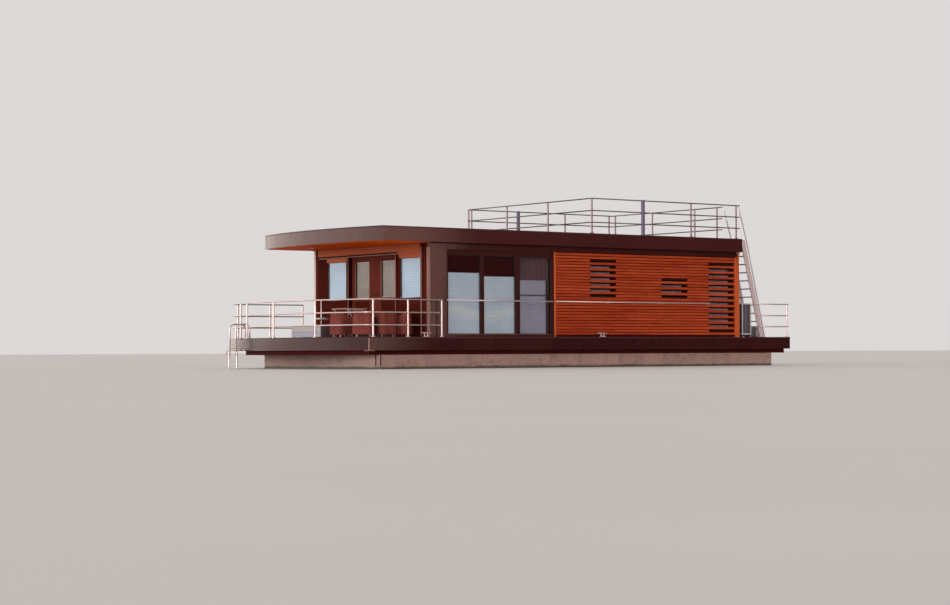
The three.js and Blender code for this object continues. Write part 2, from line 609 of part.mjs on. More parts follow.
// Terrace furniture on the foredeck
function addFurniture() {
  const base = DECK.top + SEAM;
  const chest = { x0: -7600, x1: -7150, y0: -805, y1: 642, height: 330, wall: 30, lid: 30 };
  const shell = box(chest.x0, chest.x1, chest.y0, chest.y1, base, base + chest.height - chest.lid - SEAM);
  const hollow = box(
    chest.x0 + chest.wall, chest.x1 - chest.wall, chest.y0 + chest.wall, chest.y1 - chest.wall,
    base + chest.wall, base + chest.height,
  );
  addPart('deck_box', shell.subtract(hollow), 'white_plastic');
  const lid = box(chest.x0, chest.x1, chest.y0, chest.y1, base + chest.height - chest.lid, base + chest.height);
  addPart('deck_box_lid', lid, 'white_plastic');

  const table = { x0: -7000, x1: -6350, y0: -1200, y1: -440, top: base + 780, edge: 60, leg: 16 };
  const pieces = [box(table.x0, table.x1, table.y0, table.y1, table.top - 30, table.top)];
  const [fore, aft] = [table.x0 + table.edge, table.x1 - table.edge];
  for (const y of [table.y0 + table.edge, table.y1 - table.edge]) {
    pieces.push(rod([fore, y, base], [aft, y, table.top - 10], table.leg));
    pieces.push(rod([aft, y, base], [fore, y, table.top - 10], table.leg));
  }
  const room = box(table.x0, table.x1, table.y0, table.y1, base, table.top);
  addPart('terrace_table', joined(pieces).intersect(room), 'white_plastic');

  const side = { x: -6600, y: 710, top: base + 550, radius: 210, foot: 160, rod: 13, grip: base + 1020 };
  const disc = (radius, z0, z1, sides) => rod([side.x, side.y, z0], [side.x, side.y, z1], radius, sides);
  const sidePieces = [
    disc(side.radius, side.top - 25, side.top, 20), disc(side.foot, base, base + 12, 16),
    disc(side.rod, base, side.grip, 8),
  ];
  addPart('side_table', joined(sidePieces), 'white_plastic');

  // Chairs: x, y and the way each faces, in degrees from +X
  const chairs = [
    { x: -7240, y: -1330, facing: 0 },
    { x: -7140, y: -2200, facing: 50 },
    { x: -6560, y: -2270, facing: 90 },
    { x: -5990, y: -2240, facing: 135 },
  ];
  chairs.forEach((chair, i) => addPart(`terrace_chair_${i + 1}`, tubChair(chair, base), 'wicker'));
}

function tubChair({ x, y, facing }, base) {
  const chair = { half: 230, wall: 60, low: 70, seat: 400, arm: 560, back: 680 };
  const { half, wall, low } = chair;
  const seat = box(-half, half, -half, half, low, chair.seat);
  const back = box(-half, -half + wall, -half, half, low, chair.back);
  const arms = [-half, half - wall].map((edge) => box(-half, half, edge, edge + wall, low, chair.arm));
  const legs = [];
  for (const lx of [-half + 40, half - 40]) {
    for (const ly of [-half + 40, half - 40]) {
      legs.push(rod([lx, ly, 0], [lx, ly, low + 10], 18));
    }
  }
  const whole = joined([seat, back, ...arms, ...legs]);
  return whole.rotate([0, 0, facing]).translate([x, y, base]);
}

addPontoon();
addDeck();
addRoof();
addPortSide();
addStarboardSide();
addFrontWall();
addAftWall();
addCabinFloor();
DOORS.forEach(addDoor);
addSideDoor();
addCornerColumn();
addDeckRails();
addSternRail();
addRoofRails();
addStair();
addStairHandrail('port', STAIR.port, STAIR.port + STAIR.stringer / 2);
addStairHandrail('starboard', STAIR.port + STAIR.width - 15, STAIR.port + STAIR.width - 15);
WALL_HANDRAILS.forEach(addWallHandrail);
addSwimLadder();
// Cleats on the deck's side edges: name, x, y
const CLEATS = [
  { name: 'cleat_port_fore', x: -5630, y: -2900 },
  { name: 'cleat_port_aft', x: 455, y: -2900 },
  { name: 'cleat_starboard_fore', x: -4500, y: 4040 },
  { name: 'cleat_starboard_aft', x: 6200, y: 4040 },
];
CLEATS.forEach(({ name, x, y }) => addCleat(name, x, y));
addHeatPump();
addSternBox();
addFurniture();

export default boat;
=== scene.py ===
"""Houseboat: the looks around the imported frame. Metres, +X aft, +Y starboard, +Z up."""
import math
import random
from functools import partial

import bmesh
import bpy
from mathutils import Matrix, Vector


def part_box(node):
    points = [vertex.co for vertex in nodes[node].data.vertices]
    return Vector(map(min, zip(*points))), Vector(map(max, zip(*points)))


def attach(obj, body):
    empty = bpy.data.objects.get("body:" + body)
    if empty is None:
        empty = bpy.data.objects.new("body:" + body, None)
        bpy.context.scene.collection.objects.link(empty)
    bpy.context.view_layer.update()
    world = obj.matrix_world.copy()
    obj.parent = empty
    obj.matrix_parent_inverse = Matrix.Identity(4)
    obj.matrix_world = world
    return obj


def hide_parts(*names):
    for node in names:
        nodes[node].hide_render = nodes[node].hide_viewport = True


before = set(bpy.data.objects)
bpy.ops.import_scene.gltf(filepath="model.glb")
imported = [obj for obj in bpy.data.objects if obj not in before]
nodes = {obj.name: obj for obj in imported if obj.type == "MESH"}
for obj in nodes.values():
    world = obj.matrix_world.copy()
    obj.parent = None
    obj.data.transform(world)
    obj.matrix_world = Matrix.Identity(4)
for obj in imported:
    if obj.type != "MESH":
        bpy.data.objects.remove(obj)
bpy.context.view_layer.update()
random.seed(12)

WATERLINE = 0.55
DECK = {"port": -3.0, "starboard": 4.15, "front": -7.51, "aft": 7.75, "bulge": 0.6,
        "top": 1.395, "low": 1.045}
ROOF = {"port": -3.0, "starboard": 2.9, "front": -7.05, "aft": 5.8, "bulge": 0.37,
        "top": 4.298, "low": 3.908}
ON_DECK = DECK["top"] + 0.0005
DECK_INSET, ROOF_INSET = 0.0503, 0.056
OVER_DOOR = 3.71
DOOR_CASING = (0.05, 0.05, 0.0, 0.05)
HANDLE_Z = 2.4653
SOFFIT = 3.895
SOFFIT_TOP, ROOF_BODY_TOP = 3.915, 4.272
FRONT, AFT, PORT, STARBOARD = -5.51, 5.75, -2.8, 2.7
FLOOR_TOP = 1.4353
WALL_LOW, WALL_HIGH = 1.4, SOFFIT - 0.003
CLADDING_FROM, CLADDING_TOP = -1.21, 3.755
SLAT_PITCH, SLAT_GAP = 0.082, 0.014
PORT_PANES = [(-4.828, -3.757), (-3.625, -2.565), (-2.395, -1.307)]
STARBOARD_PANES = [(-4.83, -3.2), (-3.0, -1.39)]
PANE_LOW, PANE_HIGH = 1.475, 3.585
FRONT_GLASS = (2.445, 3.525)
FRONT_WINDOWS = [(-2.48, -1.55), (1.11, 2.05)]
DOOR_GLASS = (2.5, 3.5)
DOOR_PANES = {"port": (-1.142, -0.444), "starboard": (0.134, 0.832)}
DOOR_TOP = 3.653
RAIL_LEVELS = [1.0, 0.66, 0.33]
# Louvred windows: first x, last x, first slot's row of slats, number of slots
LOUVRES = [(0.1, 1.07, 2, 7), (2.77, 3.8, 8, 4), (4.62, 5.65, 2, 13)]


# ---- Shapes ----
class Shape:
    """Points and faces of one piece. Each part of it has a tone from 0 to 1 and a material number."""

    def __init__(self):
        self.points, self.faces, self.tones, self.smooth, self.mats = [], [], [], [], []

    def add(self, points, faces, tone=0.5, smooth=False, mat=0):
        first = len(self.points)
        self.points += [tuple(p) for p in points]
        self.tones += [tone] * len(points)
        self.faces += [[first + i for i in face] for face in faces]
        self.smooth += [smooth] * len(faces)
        self.mats += [mat] * len(faces)

    def piece(self, name, looks, slot=None, replaces=None, body="boat", sharp=40):
        """Makes the object. looks are its materials by number, and sharp is an angle in degrees."""
        mesh = bpy.data.meshes.new(name)
        mesh.from_pydata(self.points, [], self.faces)
        mesh.polygons.foreach_set("use_smooth", self.smooth)
        mesh.polygons.foreach_set("material_index", self.mats)
        work = bmesh.new()
        work.from_mesh(mesh)
        bmesh.ops.recalc_face_normals(work, faces=work.faces)
        work.to_mesh(mesh)
        work.free()
        mesh.attributes.new("tone", "FLOAT", "POINT").data.foreach_set("value", self.tones)
        for look in looks if isinstance(looks, list) else [looks]:
            mesh.materials.append(look)
        mesh.set_sharp_from_angle(angle=math.radians(sharp))
        obj = placed(name, mesh)
        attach(obj, body)
        if replaces:
            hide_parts(replaces)
        return obj


def placed(name, data):
    """A new object in the scene."""
    obj = bpy.data.objects.new(name, data)
    bpy.context.scene.collection.objects.link(obj)
    return obj


def circle(count, start=0.0):
    """Cosine and sine of even steps round a circle."""
    angles = [start + 2 * math.pi * k / count for k in range(count)]
    return [(math.cos(angle), math.sin(angle)) for angle in angles]


def loft(rings, size, closed=False):
    """Faces between rings of size points each, and two end faces unless the last ring meets the first."""
    faces = []
    for i in range(rings if closed else rings - 1):
        j = (i + 1) % rings
        for k in range(size):
            m = (k + 1) % size
            faces.append([i * size + k, i * size + m, j * size + m, j * size + k])
    if not closed:
        faces += [list(range(size)), [(rings - 1) * size + k for k in range(size)]]
    return faces


def grid_faces(wide, rows):
    """Two layers of a grid that is wide points across, and the rim that joins them."""
    size = wide * (rows + 1)
    faces = []
    for first in (0, size):
        for j in range(rows):
            for i in range(wide - 1):
                a = first + j * wide + i
                faces.append([a, a + 1, a + wide + 1, a + wide])
    rim = list(range(wide)) + [j * wide + wide - 1 for j in range(1, rows + 1)]
    rim += [rows * wide + i for i in range(wide - 2, -1, -1)] + [j * wide for j in range(rows - 1, 0, -1)]
    return faces + [[a, b, size + b, size + a] for a, b in zip(rim, rim[1:] + rim[:1])]


def block_faces():
    """Corner signs and face lists of a box with chamfered edges."""
    signs = [(x, y, z) for x in (-1, 1) for y in (-1, 1) for z in (-1, 1)]
    at = {(sign, axis): 3 * i + axis for i, sign in enumerate(signs) for axis in range(3)}
    faces = [[at[sign, axis] for axis in range(3)] for sign in signs]
    for axis in range(3):
        one, two = (axis + 1) % 3, (axis + 2) % 3

        def sign_of(a, b, c):
            sign = [0, 0, 0]
            sign[axis], sign[one], sign[two] = a, b, c
            return tuple(sign)

        for side in (-1, 1):
            faces.append([at[sign_of(side, b, c), axis] for b, c in ((-1, -1), (1, -1), (1, 1), (-1, 1))])
        for b in (-1, 1):
            for c in (-1, 1):
                low, high = sign_of(-1, b, c), sign_of(1, b, c)
                faces.append([at[low, one], at[low, two], at[high, two], at[high, one]])
    return signs, faces


BLOCK_SIGNS, BLOCK_FACES = block_faces()


def block(shape, low, high, bevel=0.004, tone=0.5, mat=0, warp=None):
    """A box with chamfered edges, and warp moves its points."""
    centre = [(a + b) / 2 for a, b in zip(low, high)]
    half = [abs(b - a) / 2 for a, b in zip(low, high)]
    cut = min(bevel, 0.45 * min(half))
    points = []
    for sign in BLOCK_SIGNS:
        for axis in range(3):
            points.append(Vector([centre[k] + sign[k] * (half[k] - (0 if k == axis else cut))
                                  for k in range(3)]))
    shape.add([warp(p) for p in points] if warp else points, BLOCK_FACES, tone, False, mat)


def ring_frames(path, closed=False):
    """Three unit vectors at each point of a path, turned as little as possible from point to point."""
    count = len(path)
    tangents = []
    for i in range(count):
        before = path[i - 1] if i or closed else path[i]
        after = path[(i + 1) % count] if i + 1 < count or closed else path[i]
        tangents.append((after - before).normalized())
    up = Vector((0, 0, 1)) if abs(tangents[0].z) < 0.9 else Vector((0, 1, 0))
    side = tangents[0].cross(up).normalized()
    frames = []
    for tangent in tangents:
        side = (side - tangent * side.dot(tangent)).normalized()
        frames.append((side, tangent.cross(side), tangent))
    return frames


def tube(shape, path, radius, sides=14, tone=0.5, mat=0, cap=0.35, closed=False):
    """A round tube along a path. radius is one number or one for each point. The ends are rounded off."""
    path = [Vector(p) for p in path]
    radii = radius if isinstance(radius, list) else [radius] * len(path)
    rings = list(zip(path, radii, ring_frames(path, closed)))
    if not closed:
        for at, way, ring in ((0, -cap, rings[0]), (len(rings) + 1, cap, rings[-1])):
            rings.insert(at, (ring[0] + ring[2][2] * ring[1] * way, ring[1] * 0.72, ring[2]))
    points = []
    for centre, r, (side, up, _) in rings:
        points += [centre + side * (r * c) + up * (r * s) for c, s in circle(sides)]
    shape.add(points, loft(len(rings), sides, closed), tone, True, mat)


def turned(shape, base, profile, axis=(0, 0, 1), sides=18, tone=0.5, mat=0):
    """A turned form: profile is a list of (radius, height along the axis)."""
    axis = Vector(axis).normalized()
    side = axis.cross(Vector((0, 0, 1)) if abs(axis.z) < 0.9 else Vector((1, 0, 0))).normalized()
    across = axis.cross(side)
    points = []
    for radius, height in profile:
        centre = Vector(base) + axis * height
        points += [centre + side * (radius * c) + across * (radius * s) for c, s in circle(sides)]
    shape.add(points, loft(len(profile), sides), tone, True, mat)


def bolt(shape, base, axis=(0, 0, 1), radius=0.009):
    """A hexagonal bolt head on a washer."""
    turned(shape, base, [(radius * 1.5, 0), (radius * 1.5, 0.002), (radius, 0.002)], axis, 12)
    head = [(radius, 0), (radius, 0.006), (radius * 0.8, 0.008)]
    turned(shape, Vector(base) + Vector(axis) * 0.002, head, axis, 6)


def rounded(points, radius, steps=6):
    """A path through the points with its corners rounded off."""
    points = [Vector(p) for p in points]
    path = [points[0]]
    for before, corner, after in zip(points, points[1:], points[2:]):
        back, on = before - corner, after - corner
        reach = min(radius, back.length * 0.49, on.length * 0.49)
        start, end = corner + back.normalized() * reach, corner + on.normalized() * reach
        for i in range(steps + 1):
            t = i / steps
            path.append(start * (1 - t) ** 2 + corner * (2 * t * (1 - t)) + end * t ** 2)
    path.append(points[-1])
    return path


def bow_x(plan, inset, y):
    """Where the bow's arc is, that far inside the edge."""
    half = (plan["starboard"] - plan["port"]) / 2
    radius = (half * half + plan["bulge"] ** 2) / (2 * plan["bulge"])
    across = y - (plan["port"] + plan["starboard"]) / 2
    return plan["front"] - plan["bulge"] + radius - math.sqrt((radius - inset) ** 2 - across ** 2)


def plan_outline(plan, inset):
    """The deck's or roof's outline, from its aft port corner round the bow."""
    steps = 48
    port, starboard, end = plan["port"] + inset, plan["starboard"] - inset, plan["aft"] - inset
    arc = [port + (starboard - port) * i / steps for i in range(steps + 1)]
    return [(end, port), *[(bow_x(plan, inset, y), y) for y in arc], (end, starboard)]


def outward(a, b):
    """Unit vector out of the plan, square to the edge from a to b."""
    along = (b - a).normalized()
    return Vector((-along.y, along.x))


def plan_loop(plan):
    """The outline as a closed loop of (point, outward mitre vector, length so far)."""
    outline = [Vector(p) for p in plan_outline(plan, 0)]
    loop, run = [], 0.0
    for i, p in enumerate(outline):
        after = outline[(i + 1) % len(outline)]
        one, two = outward(outline[i - 1], p), outward(p, after)
        loop.append((p, (one + two) / (1 + one.dot(two)), run))
        run += (after - p).length
    loop.append((outline[0], loop[0][1], run))
    return loop


def cut_loop(loop, start, end):
    """The stretch of a loop between two lengths along it."""
    def at(length):
        for (p, _, s), (q, _, t) in zip(loop, loop[1:]):
            if s <= length <= t:
                return p + (q - p) * ((length - s) / (t - s)), outward(p, q)
        raise ValueError("outside the loop")

    inner = [(p, m) for p, m, s in loop if start + 1e-6 < s < end - 1e-6]
    return [at(start), *inner, at(end)]


def ribbon(shape, stretch, profile, tone=0.5, mat=0):
    """Sweeps a profile of (distance inside the edge, height) along a stretch of the outline."""
    points = [(*(p - mitre * inside), z) for p, mitre in stretch for inside, z in profile]
    shape.add(points, loft(len(stretch), len(profile)), tone, False, mat)


def plate(shape, outline, low, high, tone=0.5, mat=0):
    """An outline in plan made into a plate."""
    shape.add([(x, y, z) for z in (low, high) for x, y in outline], loft(2, len(outline)), tone, False, mat)


# ---- Materials ----
class Look:
    """A material with its nodes."""

    def __init__(self, name, rough=0.5, metal=0.0):
        self.material = bpy.data.materials.new(name)
        self.material.use_nodes = True
        self.tree = self.material.node_tree
        self.tree.nodes.clear()
        self.shader = self.node("ShaderNodeBsdfPrincipled", Roughness=rough, Metallic=metal)
        out = self.node("ShaderNodeOutputMaterial")
        self.tree.links.new(self.shader.outputs[0], out.inputs[0])
        self.where = self.node("ShaderNodeTexCoord").outputs["Object"]
        self.axes = self.node("ShaderNodeSeparateXYZ", Vector=self.where).outputs

    def put(self, socket, value):
        """Links another node's output to a socket, or sets the socket's value."""
        if isinstance(value, bpy.types.NodeSocket):
            self.tree.links.new(value, socket)
        elif hasattr(value, "__len__") and len(value) == 3 and socket.type == "RGBA":
            socket.default_value = (*value, 1)
        else:
            socket.default_value = value

    def set(self, name, value):
        self.put(self.shader.inputs[name], value)

    def node(self, kind, settings=None, **sockets):
        made = self.tree.nodes.new(kind)
        for key, value in (settings or {}).items():
            setattr(made, key, value)
        for key, value in sockets.items():
            self.put(made.inputs[key], value)
        return made

    def math(self, operation, a, b=0.0):
        made = self.node("ShaderNodeMath", {"operation": operation})
        self.put(made.inputs[0], a)
        self.put(made.inputs[1], b)
        return made.outputs[0]

    def plus(self, a, b):
        return self.math("ADD", a, b)

    def minus(self, a, b):
        return self.math("SUBTRACT", a, b)

    def times(self, a, b):
        return self.math("MULTIPLY", a, b)

    def shares(self, a, share_a, b, share_b):
        return self.plus(self.times(a, share_a), self.times(b, share_b))

    def stretched(self, scale):
        """The place on the object, scaled along each axis."""
        made = self.node("ShaderNodeMapping", Vector=self.where)
        made.inputs["Scale"].default_value = scale
        return made.outputs[0]

    def noise(self, scale, stretch=(1, 1, 1), detail=3.0, rough=0.55, distort=0.0):
        return self.node("ShaderNodeTexNoise", Vector=self.stretched(stretch), Scale=scale, Detail=detail,
                         Roughness=rough, Distortion=distort).outputs["Fac"]

    def cells(self, scale, stretch=(1, 1, 1)):
        return self.node("ShaderNodeTexVoronoi", Vector=self.stretched(stretch),
                         Scale=scale).outputs["Distance"]

    def step(self, value, low, high, to_low=0.0, to_high=1.0):
        """A smooth change from to_low to to_high as the value goes from low to high."""
        made = self.node("ShaderNodeMapRange", {"interpolation_type": "SMOOTHSTEP"})
        for socket, number in zip(made.inputs[:5], (value, low, high, to_low, to_high)):
            self.put(socket, number)
        return made.outputs[0]

    def mix(self, share, a, b):
        made = self.node("ShaderNodeMix", {"data_type": "RGBA", "clamp_factor": True})
        for number, value in ((0, share), (6, a), (7, b)):
            self.put(made.inputs[number], value)
        return made.outputs[2]

    def layer(self, colour, over, mask, strength):
        """The colour with another over it where mask is high."""
        return self.mix(self.times(mask, strength), colour, over)

    def tone(self):
        """The tone that Shape gave to each part."""
        return self.node("ShaderNodeAttribute", {"attribute_name": "tone"}).outputs["Fac"]

    def bump(self, height, strength=0.3, distance=0.002):
        made = self.node("ShaderNodeBump", Height=height, Strength=strength, Distance=distance)
        self.set("Normal", made.outputs[0])


def scaled(colour, by):
    return tuple(by * c for c in colour)


def concrete_look():
    """Cast concrete with run-off streaks, joints and a wet foot."""
    look = Look("concrete", 0.85)
    x, _, z = look.axes
    broad = look.noise(0.9, (1, 1, 1.6), 5)
    fine = look.noise(14, detail=6, rough=0.7)
    streaks = look.noise(3.0, (1, 1, 0.12), 4)
    colour = look.mix(look.step(broad, 0.3, 0.7), (0.215, 0.143, 0.122), (0.30, 0.206, 0.178))
    colour = look.mix(look.step(fine, 0.35, 0.75), colour, (0.37, 0.26, 0.225))
    run_off = look.times(look.step(streaks, 0.52, 0.68), look.step(z, 0.5, 0.95, 0.25, 0.8))
    colour = look.layer(colour, (0.13, 0.075, 0.062), run_off, 0.6)
    wet_line = look.plus(look.times(look.noise(2.2, (1, 1, 0.2), 3), 0.09), 0.56)
    wet = look.step(look.minus(z, wet_line), -0.02, 0.03, 1.0, 0.0)
    colour = look.mix(wet, colour, (0.045, 0.042, 0.032))
    seam = look.math("ABSOLUTE", look.minus(look.math("FRACT", look.times(look.plus(x, 0.6), 0.42)), 0.5))
    line = look.step(seam, 0.0, 0.008, 1.0, 0.0)
    look.set("Base Color", look.layer(colour, (0.08, 0.065, 0.06), line, 0.55))
    look.set("Roughness", look.step(wet, 0, 1, 0.88, 0.45))
    pores = look.step(look.cells(46), 0.0, 0.22)
    look.bump(look.minus(look.shares(fine, 0.6, pores, 0.5), line), 0.5, 0.004)
    return look.material


def panel_look(name, dark, light, fade):
    """Satin cladding sheet, polished at the bow. fade is where along X the polish starts to go and ends."""
    rough, polish, dull = 0.2, 0.5, 0.08
    look = Look(name, rough)
    look.set("Specular IOR Level", look.step(look.axes[0], *fade, polish, dull))
    colour = look.mix(look.shares(look.tone(), 0.5, look.noise(1.3, (1, 1, 0.5), 4), 0.5), dark, light)
    dust = look.step(look.noise(26, detail=5, rough=0.7), 0.55, 0.8)
    look.set("Base Color", look.layer(colour, scaled(light, 1.5), dust, 0.1))
    look.set("Roughness", look.step(look.noise(5, (1, 1, 0.4), 4), 0.3, 0.7, rough - 0.05, rough + 0.08))
    look.bump(look.noise(420, detail=2), 0.12, 0.0006)
    return look.material


def wood_look(name, dark, light, along="x", rough=0.55, coat=0.0, gloss=0.3):
    """Boards with rings, fibres and knots that run along an axis. Each board's tone moves its grain."""
    look = Look(name, rough)
    look.set("Specular IOR Level", gloss)
    if coat:
        look.set("Coat Weight", coat)
        look.set("Coat Roughness", 0.12)
    grain, knot_size = ([small if axis == along else large for axis in "xyz"]
                        for small, large in ((0.05, 1), (0.5, 2)))
    tone = look.tone()
    shift = look.node("ShaderNodeCombineXYZ", **{axis: look.times(tone, 37.0) for axis in "XYZ"})
    moved = look.node("ShaderNodeVectorMath", {"operation": "ADD"})
    look.put(moved.inputs[0], look.where)
    look.put(moved.inputs[1], shift.outputs[0])
    look.where = moved.outputs[0]
    rings = look.noise(26, grain, 4, 0.6, 0.6)
    fibres = look.noise(170, grain, 3, 0.6)
    knots = look.step(look.cells(2.6, knot_size), 0.02, 0.06, 1.0, 0.0)
    colour = look.mix(look.shares(look.step(rings, 0.3, 0.7), 0.55, tone, 0.45), dark, light)
    colour = look.layer(colour, scaled(dark, 0.45), look.step(fibres, 0.55, 0.8), 0.4)
    look.set("Base Color", look.layer(colour, scaled(dark, 0.45), knots, 0.7))
    look.set("Roughness", look.step(rings, 0.3, 0.7, rough - 0.07, rough + 0.1))
    look.bump(look.plus(rings, look.times(fibres, 0.7)), 0.35, 0.0012)
    return look.material


def coat_look(name, colour, second=None, rough=0.45, gloss=0.5, metal=0.0):
    """Powder coat or moulded plastic: fine orange peel, slight fading, grime."""
    look = Look(name, rough, metal)
    look.set("Specular IOR Level", gloss)
    faded = look.shares(look.noise(2.4, detail=4), 0.6, look.tone(), 0.4)
    base = look.mix(faded, colour, second or scaled(colour, 1.25))
    grime = look.step(look.noise(9, (1, 1, 0.3), 5, 0.7), 0.56, 0.78)
    look.set("Base Color", look.layer(base, scaled(colour, 0.6), grime, 0.3))
    look.set("Roughness", look.step(look.noise(12, detail=4), 0.3, 0.7, rough - 0.07, rough + 0.08))
    look.bump(look.noise(300, detail=2), 0.15, 0.0006)
    return look.material


def metal_look(name, colour, rough):
    """Bare metal with fine upright lines, water spots and finger marks."""
    look = Look(name, rough, 1.0)
    lines = look.noise(260, (1, 1, 0.02), 3, 0.7)
    spots = look.step(look.noise(30, detail=5, rough=0.7), 0.52, 0.72)
    base = look.layer(colour, scaled(colour, 0.72), spots, 0.35)
    look.set("Base Color", look.layer(base, scaled(colour, 1.12), lines, 0.25))
    look.set("Roughness", look.plus(look.times(look.plus(lines, spots), 0.1), rough - 0.06))
    look.bump(lines, 0.2, 0.0004)
    return look.material


def glass_look():
    """Clear glass with a thin uneven film."""
    look = Look("window_glass", 0.02)
    look.set("Transmission Weight", 1.0)
    look.set("IOR", 1.3)
    clear = (0.93, 0.96, 0.97)
    film = look.step(look.noise(1.5, (1, 1, 0.6), 4), 0.35, 0.7)
    look.set("Base Color", look.mix(film, clear, scaled(clear, 0.94)))
    look.set("Roughness", look.step(look.noise(4, detail=5, rough=0.7), 0.45, 0.8, 0.012, 0.05))
    look.bump(look.noise(0.8, detail=1), 0.05, 0.002)
    return look.material


def cloth_look(name, colour, second, sheen=0.0, scale=900, painted_reflection=None):
    """Woven cloth: two sets of threads at right angles. The last argument gives (height, colour) of a lighter
    wavy stripe: a painted reflection.
    """
    look = Look(name, 0.85)
    look.set("Sheen Weight", sheen)
    x, y, z = look.axes
    across = look.math("SINE", look.times(look.plus(x, y), scale))
    along = look.math("SINE", look.times(look.plus(z, look.times(look.minus(x, y), 0.6)), scale))
    weave = look.times(across, along)
    base = look.mix(look.step(weave, -0.6, 0.6), colour, second)
    # A lighter wavy stripe at one height: a painted reflection, not part of the cloth.
    if painted_reflection:
        wave = look.times(look.math("SINE", look.times(x, 3.1)), 0.1)
        away = look.math("ABSOLUTE", look.minus(look.plus(z, wave), painted_reflection[0]))
        base = look.mix(look.step(away, 0.04, 0.2, 0.8, 0.0), base, painted_reflection[1])
    look.set("Base Color", look.layer(base, scaled(second, 0.75), look.noise(7, detail=4), 0.25))
    look.bump(weave, 0.3, 0.0008)
    return look.material


CONCRETE = concrete_look()
PANEL = panel_look("dark_panel", (0.026, 0.0035, 0.0048), (0.044, 0.008, 0.010), (-7.7, -5.2))
# A lighter copy of the deck's panel colour: painted light, for the roof edge catching more sky.
ROOF_PANEL = panel_look("roof_panel", (0.040, 0.0075, 0.0085), (0.062, 0.014, 0.016), (-6.2, -3.6))
WALL_PANEL = panel_look("wall_panel", (0.036, 0.006, 0.007), (0.056, 0.012, 0.013), (-5.3, -3.8))
TRIM = coat_look("edge_trim", (0.030, 0.007, 0.008), (0.045, 0.012, 0.013), 0.32, 0.25)
TIMBER = wood_look("larch_slats", (0.25, 0.025, 0.008), (0.49, 0.080, 0.025), "x", 0.65, gloss=0.05)
TIMBER_EDGE = wood_look("larch_edge", (0.36, 0.058, 0.014), (0.58, 0.12, 0.03), "z", 0.55, gloss=0.2)
SOFFIT_WOOD = wood_look("soffit_boards", (0.62, 0.072, 0.003), (0.92, 0.140, 0.006), "x", 0.6, gloss=0.03)
# A dark copy of the soffit boards: painted shade under the side overhangs.
DARK_SOFFIT = wood_look("dark_soffit_boards", (0.030, 0.006, 0.005), (0.05, 0.012, 0.010), "x", 0.6,
                        gloss=0.02)
DECKING = wood_look("deck_boards", (0.10, 0.065, 0.047), (0.21, 0.145, 0.11), "x", 0.7)
POWDER = coat_look("powder_coat", (0.026, 0.004, 0.004), (0.042, 0.008, 0.008), 0.45, 0.1)
FRAME_PAINT = coat_look("frame_paint", (0.040, 0.006, 0.005), (0.060, 0.010, 0.008), 0.6, 0.02)
TABLE_WOOD = wood_look("table_boards", (0.30, 0.17, 0.12), (0.42, 0.27, 0.21), "x", 0.5, gloss=0.2)
# The storage box's port side: a darker grey, partly its own colour and partly painted shade.
END_GREY = coat_look("box_end", (0.10, 0.065, 0.075), (0.14, 0.10, 0.11), 0.5, 0.1)
DOOR_WOOD = wood_look("dark_red_boards", (0.036, 0.0045, 0.003), (0.085, 0.012, 0.007), "z", 0.6,
                      gloss=0.01)
LEAF_WOOD = wood_look("door_leaf_boards", (0.075, 0.014, 0.009), (0.135, 0.028, 0.018), "z", 0.6,
                      gloss=0.02)
DOOR_EDGE = wood_look("sash_edge", (0.22, 0.075, 0.045), (0.34, 0.13, 0.085), "z", 0.45, gloss=0.3)
RAILS = metal_look("satin_steel", (0.68, 0.59, 0.58), 0.36)
PORT_RAIL = metal_look("port_rail_steel", (0.84, 0.76, 0.80), 0.3)
# The deck rails' steel darkened: painted shade, for roof rails that stand dark against the sky.
DARK_RAILS = metal_look("roof_rail_steel", (0.17, 0.13, 0.15), 0.32)
ALUMINIUM = metal_look("bare_aluminium", (0.55, 0.53, 0.58), 0.42)
WHITE = coat_look("white_shell", (0.38, 0.37, 0.38), (0.45, 0.44, 0.455), 0.4, 0.3)
RUBBER = coat_look("rubber", (0.012, 0.009, 0.009), None, 0.6, 0.2)
MEMBRANE = coat_look("roof_membrane", (0.07, 0.064, 0.062), (0.11, 0.1, 0.097), 0.8)
GLASS = glass_look()
COLUMN = coat_look("column_paint", (0.48, 0.38, 0.355), None, 0.4)
PALE_TRIM = coat_look("pale_trim", (0.24, 0.145, 0.13), None, 0.45, 0.1)
HEADER = coat_look("header_board", (0.38, 0.095, 0.042), None, 0.5, 0.05)
INNER = wood_look("inner_wall", (0.06, 0.006, 0.004), (0.10, 0.013, 0.008), "z", 0.6, gloss=0.02)
POST_PAINT = coat_look("thick_post_paint", (0.085, 0.068, 0.12), None, 0.42)
# The port blinds carry a lighter wavy stripe at 2.02 m: a painted reflection.
BLIND = cloth_look("blind_cloth", (0.66, 0.81, 0.97), (0.71, 0.86, 1.0), painted_reflection=(2.02, (0.84, 0.95, 1.0)))
BLIND_PALE = cloth_look("front_blind_cloth", (0.45, 0.64, 0.83), (0.52, 0.72, 0.91))
BLIND_GREY = cloth_look("grey_blind_cloth", (0.40, 0.42, 0.55), (0.45, 0.47, 0.60))
SHEER = cloth_look("sheer_cloth", (0.10, 0.045, 0.055), (0.14, 0.065, 0.075), 0.3, 1100)
# The same blind cloth tinted warm grey: a painted reflection in the door glass.
BLIND_WARM = cloth_look("door_blind_cloth", (0.19, 0.155, 0.12), (0.23, 0.19, 0.15))
# Pale strips on the louvre glass: a painted reflection of the sky.
SKY_REFLECTION = coat_look("privacy_film", (0.34, 0.22, 0.26), (0.42, 0.28, 0.33), 0.6, 0.1)
